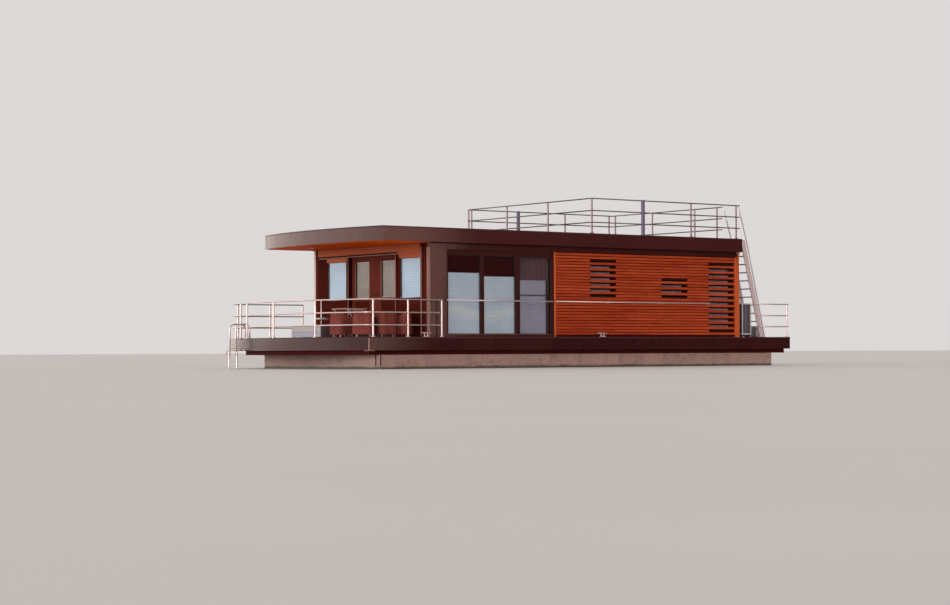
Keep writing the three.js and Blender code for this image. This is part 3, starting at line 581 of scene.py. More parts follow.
# Boards behind the pane tops, coloured dark red as painted shade of the dim cabin seen through the glass.
PELMET = coat_look("pelmet_board", (0.045, 0.0015, 0.001), (0.055, 0.002, 0.0015), 0.7, 0.0)
CUSHION = cloth_look("cushion_cloth", (0.62, 0.60, 0.60), (0.72, 0.70, 0.70), 0.4, 700)
FINS = coat_look("coil_fins", (0.17, 0.15, 0.21), (0.25, 0.22, 0.30), 0.45, metal=0.2)
FAN_PLASTIC = coat_look("fan_plastic", (0.018, 0.019, 0.021), None, 0.5)
# The storage box's lower part: grey-blue painted shade on a white box.
BOX_GREY = coat_look("grey_box", (0.32, 0.31, 0.40), (0.38, 0.37, 0.46), 0.5, 0.1)
WICKER = wood_look("wicker_strands", (0.13, 0.030, 0.024), (0.24, 0.070, 0.058), "z", 0.6, gloss=0.03)
LAMP = coat_look("lamp_glass", (0.75, 0.70, 0.62), None, 0.3)
CABIN_FLOOR = wood_look("cabin_floor_boards", (0.10, 0.04, 0.025), (0.17, 0.08, 0.045), "x", 0.4, 0.3)


# ---- Hull and deck ----
def repaint(name, look, bevel=0.0, segments=1):
    """A CAD node that stays gets its material and softened edges."""
    obj = nodes[name]
    obj.data.materials.clear()
    obj.data.materials.append(look)
    if bevel:
        soft = obj.modifiers.new("edges", "BEVEL")
        soft.width, soft.segments = bevel, segments
        soft.limit_method, soft.angle_limit = "ANGLE", math.radians(40)


def fascia(name, plan, counts, looks, node, grooves=0, strip=0.022):
    """Panels on a dark backing, corner strips and a cap. counts has panel numbers or lists of joint y."""
    loop = plan_loop(plan)
    corners = [0.0, loop[1][2], loop[-3][2], loop[-2][2], loop[-1][2]]
    joints = []
    for start, end, count in zip(corners, corners[1:], counts):
        if isinstance(count, list):
            nearest = [min(loop, key=lambda at: abs(at[0].y - y) + abs(at[0].x - plan["front"]) * 0.01)
                       for y in count]
            joints += [start] + [entry[2] for entry in nearest]
        else:
            joints += [start + (end - start) * i / count for i in range(count)]
    joints.append(corners[-1])
    low, high = plan["low"], plan["top"]
    thick, deep, soft, gap, head, cap_foot = 0.024, 0.05, 0.003, 0.003, high - 0.03, high - 0.034
    whole = cut_loop(loop, 0.0, corners[-1])
    shape = Shape()
    ribbon(shape, whole,
           [(thick, low + 0.006), (deep, low + 0.006), (deep, high - 0.004), (thick, high - 0.004)], 0.2, 1)
    face = [(thick, low), (soft, low), (0, low + soft)]
    for k in range(1, grooves + 1):
        z = low + (head - low) * k / (grooves + 1)
        face += [(0, z - 0.006), (0.006, z - 0.003), (0.006, z + 0.003), (0, z + 0.006)]
    face += [(0, head), (soft, head + soft), (thick, head + soft)]
    for start, end in zip(joints, joints[1:]):
        ribbon(shape, cut_loop(loop, start + gap, end - gap), face, random.random(), 0)
    ribbon(shape, whole, [(-0.006, cap_foot), (-0.006, high - 0.002), (-0.004, high), (deep, high),
                          (deep, high - 0.006), (0, high - 0.012), (0, cap_foot)], 0.5, 1)
    angle = [(-0.005, low), (-0.005, cap_foot), (0.02, cap_foot), (0.02, low)]
    for corner in corners[1:-1]:
        ribbon(shape, cut_loop(loop, corner - strip, corner + strip), angle, 0.9, 2)
    shape.piece(name, looks, "dark_panel", node)


def board_section(width, z_top, thick, face_up, grooves):
    """The section of a decking board as (y offset, z) points."""
    edge, deep = 0.003, 0.002
    points = [(0.0, z_top - thick), (0.0, z_top - edge), (edge, z_top)]
    for i in range(grooves):
        centre = width * (i + 1) / (grooves + 1)
        points += [(centre + aside, z_top - down)
                   for aside, down in ((-0.004, 0), (-0.0025, deep), (0.0025, deep), (0.004, 0))]
    points += [(width - edge, z_top), (width, z_top - edge), (width, z_top - thick)]
    return points if face_up else [(y, 2 * z_top - thick - z) for y, z in points]


def boards(shape, y_from, y_to, x_start, x_end, z_top, thick=0.028, width=0.14, gap=0.006, longest=4.2,
           grooves=5, mat=0):
    """Boards along X. x_start gives where one begins at each y. Those without grooves face down."""
    count = max(1, round((y_to - y_from + gap) / (width + gap)))
    pitch = (y_to - y_from + gap) / count
    for i in range(count):
        y0 = y_from + i * pitch
        section = board_section(pitch - gap, z_top, thick, grooves > 0, grooves)
        nearest = max(x_start(y0), x_start(y0 + pitch - gap))
        cuts = []
        if x_end - nearest > longest:
            first = nearest + longest * (0.35 + 0.6 * random.random())
            while first < x_end - 0.6:
                cuts.append(first)
                first += longest
        for a, b in zip([None, *cuts], [*cuts, None]):
            points = [(x_start(y0 + y) if a is None else a + 0.0015, y0 + y, z) for y, z in section]
            points += [(x_end if b is None else b - 0.0015, y0 + y, z) for y, z in section]
            shape.add(points, loft(2, len(section)), random.random(), False, mat)


def make_hull():
    repaint("pontoon", CONCRETE, 0.012, 3)
    repaint("deck_frame", FRAME_PAINT, 0.004)
    shape = Shape()
    plate(shape, plan_outline(DECK, DECK_INSET), 1.245, 1.366, 0.3, 1)
    boards(shape, DECK["port"] + DECK_INSET, DECK["starboard"] - DECK_INSET,
           partial(bow_x, DECK, DECK_INSET), DECK["aft"] - DECK_INSET, DECK["top"])
    shape.piece("deck_boarding", [DECKING, POWDER], "deck_boards", "deck_platform")
    fascia("deck_edge_panels", DECK, (5, [-2.35, 0.85, 3.08], 5, 3), [PANEL, TRIM, PALE_TRIM],
           "deck_fascia", 4, 0.018)


def make_roof():
    shape = Shape()
    plate(shape, plan_outline(ROOF, DECK_INSET), SOFFIT_TOP, ROOF_BODY_TOP)
    low_block = [(x, y) for x, ys in ((FRONT + 0.001, (PORT + 0.001, STARBOARD - 0.001)),
                                      (AFT - 0.001, (STARBOARD - 0.001, PORT + 0.001))) for y in ys]
    plate(shape, low_block, SOFFIT, SOFFIT_TOP, 0.5, 1)
    for i in range(8):
        x = -6.9 + i
        block(shape, (x - 0.04, ROOF["port"] + 0.08, ROOF_BODY_TOP),
              (x + 0.04, ROOF["starboard"] - 0.08, 4.2755), 0.001, random.random())
    shape.piece("roof_body", [MEMBRANE, POWDER], "dark_panel", "roof_slab")
    port, starboard = ROOF["port"] + ROOF_INSET, ROOF["starboard"] - ROOF_INSET
    aft = ROOF["aft"] - ROOF_INSET
    terrace = Shape()
    boards(terrace, port, starboard, lambda y: -0.05, aft, ROOF["top"], 0.024)
    block(terrace, (-0.075, port, 4.273), (-0.052, starboard, 4.297), 0.002, 0.4)
    terrace.piece("terrace_boards", DECKING, "deck_boards", "roof_slab")
    soffit = Shape()
    under = partial(boards, soffit, z_top=3.9145, thick=0.018, gap=0.005, longest=3.0, grooves=0)
    front = partial(bow_x, ROOF, 0.052)
    under(PORT, STARBOARD, front, FRONT - 0.004, width=0.095)
    for y0, y1 in ((ROOF["port"] + 0.052, PORT - 0.005), (STARBOARD + 0.005, ROOF["starboard"] - 0.052)):
        under(y0, y1, front, FRONT - 0.004)
        # Aft of the front wall the side soffits take the dark copy, painted shade.
        under(y0, y1, lambda y: FRONT, aft, mat=1)
    soffit.piece("soffit_boarding", [SOFFIT_WOOD, DARK_SOFFIT], "timber", "roof_slab")
    fascia("roof_edge_panels", ROOF, (1, 1, 1, 1), [ROOF_PANEL, TRIM, ROOF_PANEL], "roof_fascia")


# ---- Walls ----
def member(shape, axis, a, d, z, bevel=0.004, tone=0.5, mat=0):
    """A bar in a wall that runs along axis. a, d and z are (from, to) along the wall, through it and up."""
    ends = zip(a, d, z) if axis == "x" else zip(d, a, z)
    block(shape, *ends, bevel, tone, mat)


def facing(shape, axis, face, out, spans):
    """Flat panels on a wall that runs along axis. spans are (from, to, low, high)."""
    for a, b, low, high in spans:
        proud = sorted((face, face + out * 0.005))
        member(shape, axis, (a + 0.002, b - 0.002), proud, (low + 0.002, high - 0.002), 0.0015,
               random.random())


def make_port_wall():
    for name in ("wall_port_front", "wall_port_aft"):
        repaint(name, INNER)
    shape = Shape()
    strip, strip_top, over_window = FRONT + 0.085, 3.78, 3.737
    before, middle, after = -4.872, -3.07, -1.27
    spans = [(strip, before, WALL_LOW, strip_top), (FRONT, before, strip_top + 0.002, WALL_HIGH),
             (before, middle, over_window, WALL_HIGH), (middle, after, over_window, WALL_HIGH),
             (before, after, WALL_LOW, 1.453), (after, CLADDING_FROM, WALL_LOW, WALL_HIGH)]
    edges = [CLADDING_FROM + 1.392 * i for i in range(6)]
    spans += [(a, b, CLADDING_TOP + 0.003, WALL_HIGH) for a, b in zip(edges, edges[1:])]
    facing(shape, "x", PORT, -1, spans)
    block(shape, (FRONT - 0.006, PORT - 0.008, WALL_LOW), (strip, PORT + 0.02, strip_top), 0.002, 0.9, 1)
    shape.piece("port_wall_panels", [WALL_PANEL, PALE_TRIM, POWDER], "dark_panel")


def slat(shape, x0, x1, top, tone):
    """A rhombus slat whose edges slope outward and down, so that water runs off."""
    low, face, back = top - SLAT_PITCH + SLAT_GAP, PORT, PORT + 0.026
    section = [(back, low + 0.009), (face + 0.002, low), (face, low + 0.002), (face, top - 0.011),
               (face + 0.002, top - 0.009), (back, top)]
    shape.add([(x, y, z) for x in (x0, x1) for y, z in section], loft(2, len(section)), tone)


def make_cladding():
    shape = Shape()
    first, last = CLADDING_FROM + 0.075, AFT - 0.075
    row, top = 0, CLADDING_TOP - SLAT_GAP
    while top - SLAT_PITCH > DECK["top"] - 0.01:
        holes = [x for x0, x1, start, slots in LOUVRES
                 if 0 <= row - start < 2 * slots and (row - start) % 2 == 0 for x in (x0, x1)]
        edges = [first, *holes, last]
        for a, b in zip(edges[::2], edges[1::2]):
            cut = a + (b - a) * (0.3 + 0.4 * random.random())
            for x0, x1 in [(a, cut - 0.0008), (cut + 0.0008, b)] if b - a > 3.2 else [(a, b)]:
                slat(shape, x0 + 0.001, x1 - 0.001, top, random.random())
        top -= SLAT_PITCH
        row += 1
    for x in (first + 0.02, -0.4, 0.06, 1.11, 1.9, 2.73, 3.84, 4.58, 5.67):
        block(shape, (x - 0.02, PORT + 0.0265, DECK["top"] + 0.02),
              (x + 0.02, PORT + 0.0595, CLADDING_TOP - 0.01), 0.002, 0.2, 2)
    for x0, x1 in ((CLADDING_FROM + 0.002, first - 0.002), (last + 0.002, AFT + 0.012)):
        block(shape, (x0, PORT - 0.004, DECK["top"] + 0.002), (x1, PORT + 0.058, CLADDING_TOP - 0.003),
              0.004, 0.8, 1)
    shape.piece("larch_cladding", [TIMBER, TIMBER_EDGE, POWDER], "timber", "timber_cladding_port")
    frames = Shape()
    wide, y0, y1 = 0.035, PORT + 0.06, PORT + 0.15
    for x0, x1, start, slots in LOUVRES:
        high = CLADDING_TOP - SLAT_GAP - start * SLAT_PITCH
        low = high - (2 * slots - 1) * SLAT_PITCH
        for a, b, c, d in ((x0 - 0.001, x0 + wide, low, high), (x1 - wide, x1 + 0.001, low, high),
                           (x0 + wide, x1 - wide, low, low + wide),
                           (x0 + wide, x1 - wide, high - wide, high)):
            block(frames, (a, y0, c), (b, y1, d), 0.003)
        # Pale strips over the lower part of each slot: a painted reflection of the sky in the glass.
        film = Shape()
        for slot in range(1, slots - 1):
            foot = high - (2 * slot + 1) * SLAT_PITCH
            block(film, (x0 + 0.085, PORT + 0.0885, foot - 0.01), (x1 - 0.19, PORT + 0.0905, foot + 0.052),
                  0, random.random())
        film.piece(f"louvre_film_{start}_{slots}", SKY_REFLECTION, "glass")
    frames.piece("louvre_frames", POWDER, "frame_metal")


# ---- Windows and doors ----
def surround(shape, axis, a, d, z, wide, bevel=0.004, tone=0.5, mat=0):
    """Four bars round an opening. wide gives the bars before, after, below and above it."""
    before, after, below, above = wide if isinstance(wide, tuple) else (wide,) * 4
    tall, inner = (z[0] - below, z[1] + above), (a[0] + 0.0005, a[1] - 0.0005)
    for along, up in (((a[0] - before, a[0]), tall), ((a[1], a[1] + after), tall),
                      (inner, (z[0] - below, z[0])), (inner, (z[1], z[1] + above))):
        member(shape, axis, along, d, up, bevel, tone, mat)


def gasket(shape, axis, a, d, z, mat):
    """A rubber seal just inside an opening."""
    wide = 0.007
    surround(shape, axis, (a[0] + wide, a[1] - wide), d, (z[0] + wide, z[1] - wide), wide, 0.002, 0.5, mat)


def pleated_blind(name, axis, a, d, z, look, body="boat", bar_look=ALUMINIUM):
    """A pleated blind: one thin sheet folded to and fro between two slim bars."""
    pitch, deep, thick = 0.022, 0.012, 0.0012
    drop = z[1] - z[0]
    count = 2 * max(2, round(drop / (2 * pitch)))
    rows = [(d + (deep / 2 if i % 2 else -deep / 2), z[0] + drop * i / count) for i in range(count + 1)]
    points = [(along, across + layer, up) if axis == "x" else (across + layer, along, up)
              for layer in (0.0, thick) for across, up in rows for along in a]
    shape = Shape()
    shape.add(points, grid_faces(2, count), random.random())
    sheet = shape.piece(name, look, body=body)
    bars = Shape()
    for span in ((z[0] - 0.014, z[0]), (z[1], z[1] + 0.014)):
        member(bars, axis, (a[0] - 0.002, a[1] + 0.002), (d - 0.008, d + 0.009), span, 0.002)
    bar = bars.piece(name + "_bars", bar_look, body=body)


def make_port_windows():
    shape = Shape()
    bar = partial(member, shape, "x")
    core, sash = (PORT + 0.026, PORT + 0.1), (PORT + 0.008, PORT + 0.09)
    uprights = [(-4.869, -4.831), (-3.754, -3.628), (-2.562, -2.398), (-1.304, -1.271)]
    bottom, top = 1.456, 3.734
    for span in uprights:
        bar(span, core, (bottom, top), 0.003)
    for (_, b), (c, _) in zip(uprights, uprights[1:]):
        bar((b, c), core, (3.59, top), 0.003)
        bar((b, c), core, (bottom, 1.471), 0.003)
    height = (PANE_LOW, PANE_HIGH)
    for pane, (before, after) in zip(PORT_PANES, ((0.036, 0.065), (0.065, 0.084), (0.084, 0.034))):
        surround(shape, "x", pane, sash, height, (before, after, 0.017, 0.056), 0.004, 0.7)
        gasket(shape, "x", pane, (PORT + 0.012, PORT + 0.0215), height, 1)
    bar((uprights[0][0], uprights[-1][1]), (PORT - 0.012, PORT + 0.0075), (1.4555, 1.459), 0.001, 0.5, 2)
    shape.piece("port_window_frame", [POWDER, RUBBER, ALUMINIUM], "frame_metal", "window_frame_port")
    shape = Shape()
    blind_tops = (3.115, 3.03)
    # Dark red boards fill each pane's top above its blind: painted shade of the dim cabin behind.
    for (x0, x1), top in zip(PORT_PANES, blind_tops):
        block(shape, (x0 + 0.012, PORT + 0.086, top - 0.06), (x1 - 0.012, PORT + 0.094, PANE_HIGH - 0.004),
              0.002, 0.4)
    shape.piece("pane_pelmets", PELMET, "inner_panel")
    foot = PANE_LOW + 0.016
    # Pane, gap at its aft end, lower and upper edge, cloth
    rows = [(0, 0.006, foot, blind_tops[0], BLIND), (1, 0.006, foot, blind_tops[1], BLIND),
            (2, 0.16, foot, 2.52, BLIND_GREY), (2, 0.16, 2.56, 2.95, BLIND_GREY)]
    for row, (pane, short, low, top, look) in enumerate(rows):
        x0, x1 = PORT_PANES[pane]
        pleated_blind(f"blind_port_{row + 1}", "x", (x0 + 0.008, x1 - short), PORT + 0.0625, (low, top),
                      look, bar_look=DARK_RAILS)


def make_sheer_curtain():
    """A thin curtain in soft folds behind the third port pane, hung from a rod."""
    x0, x1, y = PORT_PANES[2][0] - 0.02, PORT_PANES[2][1] + 0.02, PORT + 0.135
    low, high = PANE_LOW + 0.01, PANE_HIGH + 0.02
    columns, rows, deep, thick = 96, 24, 0.011, 0.0008
    points = []
    for layer in (0, thick):
        for j in range(rows + 1):
            for i in range(columns + 1):
                t, drop = i / columns, j / rows
                fold = math.sin(2 * math.pi * 9 * t + 0.5 * math.sin(7 * t)) * (0.75 + 0.25 * drop)
                points.append((x0 + (x1 - x0) * t, y + deep * fold + layer, high - (high - low) * drop))
    shape = Shape()
    shape.add(points, grid_faces(columns + 1, rows), 0.5, True)
    sheet = shape.piece("curtain_port_3", SHEER)
    rod = Shape()
    tube(rod, [(x0 - 0.02, y, high + 0.006), (x1 + 0.02, y, high + 0.006)], 0.006, 10)
    rod = rod.piece("curtain_port_3_rod", ALUMINIUM)


def lever(shape, at, out, along, mat):
    """A door handle: rose, neck and a lever that points along."""
    turned(shape, at, [(0.026, 0), (0.026, 0.006), (0.022, 0.009)], out, 20, 0.5, mat)
    neck = at + out * 0.045
    tube(shape, rounded([at + out * 0.004, neck, neck + along * 0.12], 0.018, 5), 0.0095, 12, 0.5, mat)


def make_starboard_side():
    repaint("wall_starboard", INNER)
    shape = Shape()
    over, under = PANE_HIGH + 0.055, PANE_LOW - 0.055
    x = [FRONT + 0.03, -4.885, -3.1, -1.335, 0.245, 1.355, 3.0, 4.5, AFT - 0.03]
    # Stretch between two x, lower and upper edge
    rows = [(0, WALL_LOW, WALL_HIGH), (1, over, WALL_HIGH), (2, over, WALL_HIGH), (1, WALL_LOW, under),
            (2, WALL_LOW, under), (3, WALL_LOW, WALL_HIGH), (4, OVER_DOOR, WALL_HIGH),
            *((i, WALL_LOW, WALL_HIGH) for i in (5, 6, 7))]
    facing(shape, "x", STARBOARD, 1, [(x[i], x[i + 1], low, high) for i, low, high in rows])
    for x in (FRONT + 0.012, AFT - 0.012):
        block(shape, (x - 0.018, STARBOARD - 0.02, WALL_LOW), (x + 0.018, STARBOARD + 0.008, WALL_HIGH),
              0.002, 0.9, 1)
    shape.piece("starboard_wall_panels", [WALL_PANEL, PALE_TRIM], "dark_panel")
    shape = Shape()
    bar, round_it = partial(member, shape, "x"), partial(surround, shape, "x")
    casing, reveal = (STARBOARD - 0.03, STARBOARD + 0.012), (STARBOARD - 0.085, STARBOARD - 0.005)
    for x0, x1 in STARBOARD_PANES:
        inner, height = (x0 + 0.045, x1 - 0.045), (PANE_LOW + 0.045, PANE_HIGH - 0.045)
        round_it((x0, x1), casing, (PANE_LOW, PANE_HIGH), 0.055, 0.006, 0.7)
        round_it(inner, reveal, height, 0.0445, 0.004, 0.4)
        gasket(shape, "x", inner, (STARBOARD - 0.035, STARBOARD - 0.03), height, 1)
        bar((x0 - 0.06, x1 + 0.06), (STARBOARD + 0.001, STARBOARD + 0.03),
            (PANE_LOW - 0.065, PANE_LOW - 0.057), 0.002, 0.5, 2)
    round_it((0.3, 1.3), (STARBOARD - 0.06, STARBOARD + 0.012), (FLOOR_TOP, DOOR_TOP), DOOR_CASING, 0.005,
             0.7)
    bar((0.25, 1.35), (STARBOARD - 0.1, STARBOARD + 0.02), (ON_DECK, FLOOR_TOP - 0.001), 0.004, 0.5, 2)
    shape.piece("starboard_window_frames", [POWDER, RUBBER, ALUMINIUM], "frame_metal")
    for i, (x0, x1) in enumerate(STARBOARD_PANES):
        pleated_blind(f"blind_starboard_{i + 1}", "x", (x0 + 0.05, x1 - 0.05), STARBOARD - 0.1,
                      (PANE_LOW + 0.06, 2.6), BLIND)


def make_aft_wall():
    repaint("wall_aft", INNER)
    shape = Shape()
    y = [-2.61, -1.4, -0.205, 0.905, 1.78, 2.61]
    facing(shape, "y", AFT, 1,
           [(a, b, OVER_DOOR if i == 2 else WALL_LOW, WALL_HIGH) for i, (a, b) in enumerate(zip(y, y[1:]))])
    surround(shape, "y", (-0.15, 0.85), (AFT - 0.05, AFT + 0.01), (FLOOR_TOP, DOOR_TOP), DOOR_CASING,
             0.005, 0.7, 1)
    member(shape, "y", (-0.2, 0.9), (AFT - 0.1, AFT + 0.02), (ON_DECK, FLOOR_TOP - 0.001), 0.004, 0.5, 2)
    shape.piece("aft_wall_panels", [WALL_PANEL, POWDER, ALUMINIUM], "dark_panel")


def make_front_wall():
    repaint("wall_front", DOOR_WOOD, 0.004)
    shape = Shape()
    bar, round_it = partial(member, shape, "y"), partial(surround, shape, "y")
    face = (FRONT - 0.009, FRONT + 0.008)
    low, high = FRONT_GLASS
    for y0, y1 in FRONT_WINDOWS:
        round_it((y0, y1), face, (low, high), 0.055, 0.004, random.random())
        bar((y0 - 0.05, y1 + 0.05), (FRONT - 0.012, FRONT - 0.001), (high + 0.002, high + 0.105), 0.003,
            0.5, 4)
        round_it((y0 + 0.012, y1 - 0.012), (FRONT + 0.035, FRONT + 0.05), (low + 0.012, high - 0.012),
                 0.0118, 0.003, 0.2, 1)
        gasket(shape, "y", (y0, y1), (FRONT + 0.002, FRONT + 0.0098), (low, high), 2)
        bar((y0 - 0.06, y1 + 0.06), (FRONT - 0.026, FRONT - 0.002), (low - 0.07, low - 0.056), 0.003)
        round_it((y0 + 0.03, y1 - 0.03), face, (1.52, low - 0.17), 0.085, 0.004, random.random())
        bar((y0 + 0.035, y1 - 0.035), (FRONT - 0.003, FRONT + 0.004), (1.525, low - 0.175), 0.003,
            random.random())
    opening = (-1.32, 1.01)
    round_it(opening, face, (FLOOR_TOP, DOOR_TOP), (0.07, 0.07, 0.0, 0.05), 0.004, 0.1)
    for y in opening:
        bar((y - 0.012, y + 0.012), (FRONT - 0.012, FRONT + 0.002), (FLOOR_TOP, 3.64), 0.003, 0.5, 6)
    # Header board, its filler over the port window, two pale strips and the threshold
    for a, out, into, z, bevel, mat in (((-2.5, 2.5), 0.05, 0.004, (3.70, 3.892), 0.006, 4),
                                        ((-2.5, -1.42), 0.02, -0.001, (3.634, 3.699), 0.003, 4),
                                        ((-1.4, 2.5), 0.016, 0.004, (3.638, 3.664), 0.003, 5),
                                        ((-2.54, -2.505), 0.014, 0.004, (1.42, 3.80), 0.003, 5),
                                        ((-1.4, 1.08), 0.03, 0.14, (ON_DECK, FLOOR_TOP - 0.001), 0.004, 1)):
        bar(a, (FRONT - out, FRONT + into), z, bevel, 0.5, mat)
    shape.piece("front_wall_casings", [DOOR_WOOD, POWDER, RUBBER, ALUMINIUM, HEADER, PALE_TRIM, DOOR_EDGE],
                "door_wood")
    for i, (y0, y1) in enumerate(FRONT_WINDOWS):
        pleated_blind(f"blind_front_{i + 1}", "y", (y0 + 0.015, y1 - 0.015), FRONT + 0.062,
                      (low + 0.02, high - 0.02), BLIND_PALE)


def make_corner_post():
    x, y, half, radius = FRONT + 0.07, STARBOARD + 0.0653, 0.054, 0.012
    outline = []
    for quarter, (cx, cy) in enumerate(((1, 1), (-1, 1), (-1, -1), (1, -1))):
        for c, s in circle(16, quarter * math.pi / 2)[:5]:
            outline.append((x + cx * (half - radius) + radius * c,
                            y + cy * (half + 0.010 - radius) + radius * s))
    shape = Shape()
    plate(shape, outline, 1.4, 3.893)
    for z in (ON_DECK + 0.0001, 3.885):
        block(shape, (x - 0.075, y - 0.064, z), (x + 0.075, y + 0.075, z + 0.009), 0.003)
    for dx in (-0.062, 0.062):
        for dy in (-0.04, 0.06):
            bolt(shape, (x + dx, y + dy, 1.4046), radius=0.006)
    shape.piece("corner_post", COLUMN, "rail_metal", "corner_column")


def door_leaf(name, axis, a, d, outside, hinge_low, look, glass=None):
    """Stiles, rails and handles. outside is the outer face's sign. With hinge_low it hangs at a[0]."""
    shape = Shape()
    bar = partial(member, shape, axis)
    low, high = FLOOR_TOP + 0.008, 3.645
    inner = glass or (a[0] + 0.13, a[1] - 0.13)
    panels = [(1.6, 2.4), DOOR_GLASS] if glass else [(1.6, 3.5)]
    for span in ((a[0], inner[0]), (inner[1], a[1])):
        bar(span, d, (low, high), 0.004, random.random())
    heights = [low, *[z for panel in panels for z in panel], high]
    for span in zip(heights[::2], heights[1::2]):
        bar((inner[0] + 0.0005, inner[1] - 0.0005), d, span, 0.004, random.random())
    middle = sum(d) / 2
    if glass:
        for side, face in ((-1, d[0]), (1, d[1])):
            gasket(shape, axis, inner, sorted((middle + side * 0.0125, middle + side * 0.018)), DOOR_GLASS,
                   1)
            for edge in inner:
                bar((edge - 0.013, edge + 0.013), sorted((face, face + side * 0.006)), DOOR_GLASS, 0.002,
                    0.5, 4)
        bar((a[0] + 0.02, a[1] - 0.02), (d[0] - 0.016, d[0]), (2.455, 2.485), 0.003, 0.5, 5)
    foot, head = panels[0]
    bar((inner[0] + 0.001, inner[1] - 0.001), (middle - 0.02, middle + 0.02), (foot + 0.001, head - 0.001),
        0.003, 0.3, 3)
    if not glass:
        for z in (2.1, 2.65, 3.1):
            bar((inner[0] + 0.02, inner[1] - 0.02), (middle - 0.026, middle + 0.026), (z, z + 0.02), 0.003,
                0.6)
    latch = a[1] - 0.06 if hinge_low else a[0] + 0.06
    towards = -1 if hinge_low else 1
    for side, face in ((-1, d[0]), (1, d[1])):
        vectors = [(0, side, 0), (towards, 0, 0), (latch, face, HANDLE_Z)]
        out, along, at = (Vector(v if axis == "x" else (v[1], v[0], v[2])) for v in vectors)
        lever(shape, at + Vector((0, 0, 0.12 if glass else 0)), out, along, 2)
        keyhole = at + Vector((0, 0, 0.03 if glass else -0.09))
        turned(shape, keyhole, [(0.02, 0), (0.02, 0.005), (0.016, 0.008)], out, 16, 0.5, 2)
    face = (d[1], d[1] + 0.006) if outside > 0 else (d[0] - 0.006, d[0])
    bar((a[0] + 0.04, a[1] - 0.04), face, (low + 0.01, low + 0.075), 0.002, 0.5, 2)
    looks = [look, RUBBER, POWDER, DOOR_WOOD if glass else look, DOOR_EDGE, PALE_TRIM]
    shape.piece(name + "_leaf", looks, None, name, name + "_leaf")


def make_doors():
    thick = (-5.39, -5.32)
    door_leaf("front_door_port", "y", (-1.312, -0.159), thick, -1, True, LEAF_WOOD, DOOR_PANES["port"])
    door_leaf("front_door_starboard", "y", (-0.151, 1.002), thick, -1, False, LEAF_WOOD,
              DOOR_PANES["starboard"])
    door_leaf("aft_door", "y", (-0.146, 0.842), (5.56, 5.63), 1, False, WALL_PANEL)
    door_leaf("side_door", "x", (0.308, 1.292), (2.51, 2.58), 1, False, DOOR_WOOD)
    height = (DOOR_GLASS[0] + 0.018, DOOR_GLASS[1] - 0.018)
    for side, (y0, y1) in DOOR_PANES.items():
        leaf = f"front_door_{side}_leaf"
        pleated_blind(f"blind_door_{side}", "y", (y0 + 0.012, y1 - 0.012), -5.332, height, BLIND_WARM,
                      leaf)


# ---- Railings, stair and ladder ----
def post(shape, x, y, base, height):
    """A post on a bolted flange."""
    radius, foot = 0.025, 0.058
    tube(shape, [(x, y, base + 0.004), (x, y, base + height)], radius, 16, cap=0.3)
    turned(shape, (x, y, base), [(foot, 0), (foot, 0.007), (foot - 0.004, 0.010), (radius + 0.014, 0.012),
                                 (radius + 0.008, 0.026), (radius + 0.001, 0.046)], sides=24)
    for c, s in circle(4, math.pi / 4):
        bolt(shape, (x + foot * 0.8 * c, y + foot * 0.8 * s, base + 0.010), radius=0.006)


def railing(name, node, plan, posts, base, height, radius, look, thick=None):
    """Rails along the plan's points at each level, on flanged posts. thick is where a thick post stands."""
    shape = Shape()
    for x, y in posts:
        post(shape, x, y, base, height - 2.0 * radius)
    if thick:
        tube(shape, [(*thick, base + 0.004), (*thick, base + height + 0.004)], 0.055, 24, 0.2, 1, 0.12)
        collar = [(0.060, 0), (0.060, 0.008), (0.058, 0.010), (0.056, 0.02)]
        turned(shape, (*thick, base), collar, sides=28, tone=0.3, mat=1)
    for level in RAIL_LEVELS:
        z = base + height * level - radius
        path = [Vector((x, y, z)) for x, y in plan]
        tube(shape, path, radius)
        for x, y in posts:
            at = Vector((x, y, z))
            if level == 1:
                saddle = [(0.018, 0), (0.0175, 0.006), (0.0245, 0.016)]
                turned(shape, (x, y, z - radius - 0.012), saddle, sides=16)
                continue
            near = min(range(len(path) - 1), key=lambda i: ((path[i] + path[i + 1]) / 2 - at).length)
            along = (path[near + 1] - path[near]).normalized()
            sleeve = [(radius + 0.005, 0), (radius + 0.002, 0.006), (radius, 0.008)]
            for side in (-1, 1):
                turned(shape, at + along * (side * 0.0235), sleeve, along * side, 14)
    shape.piece(name, [look, POST_PAINT], "rail_metal", node)


def stair_x(z):
    """The middle of the stair at a height: it leans forward from the deck to the roof."""
    return 6.7 - 0.76 * (z - DECK["top"]) / (ROOF["top"] - DECK["top"])


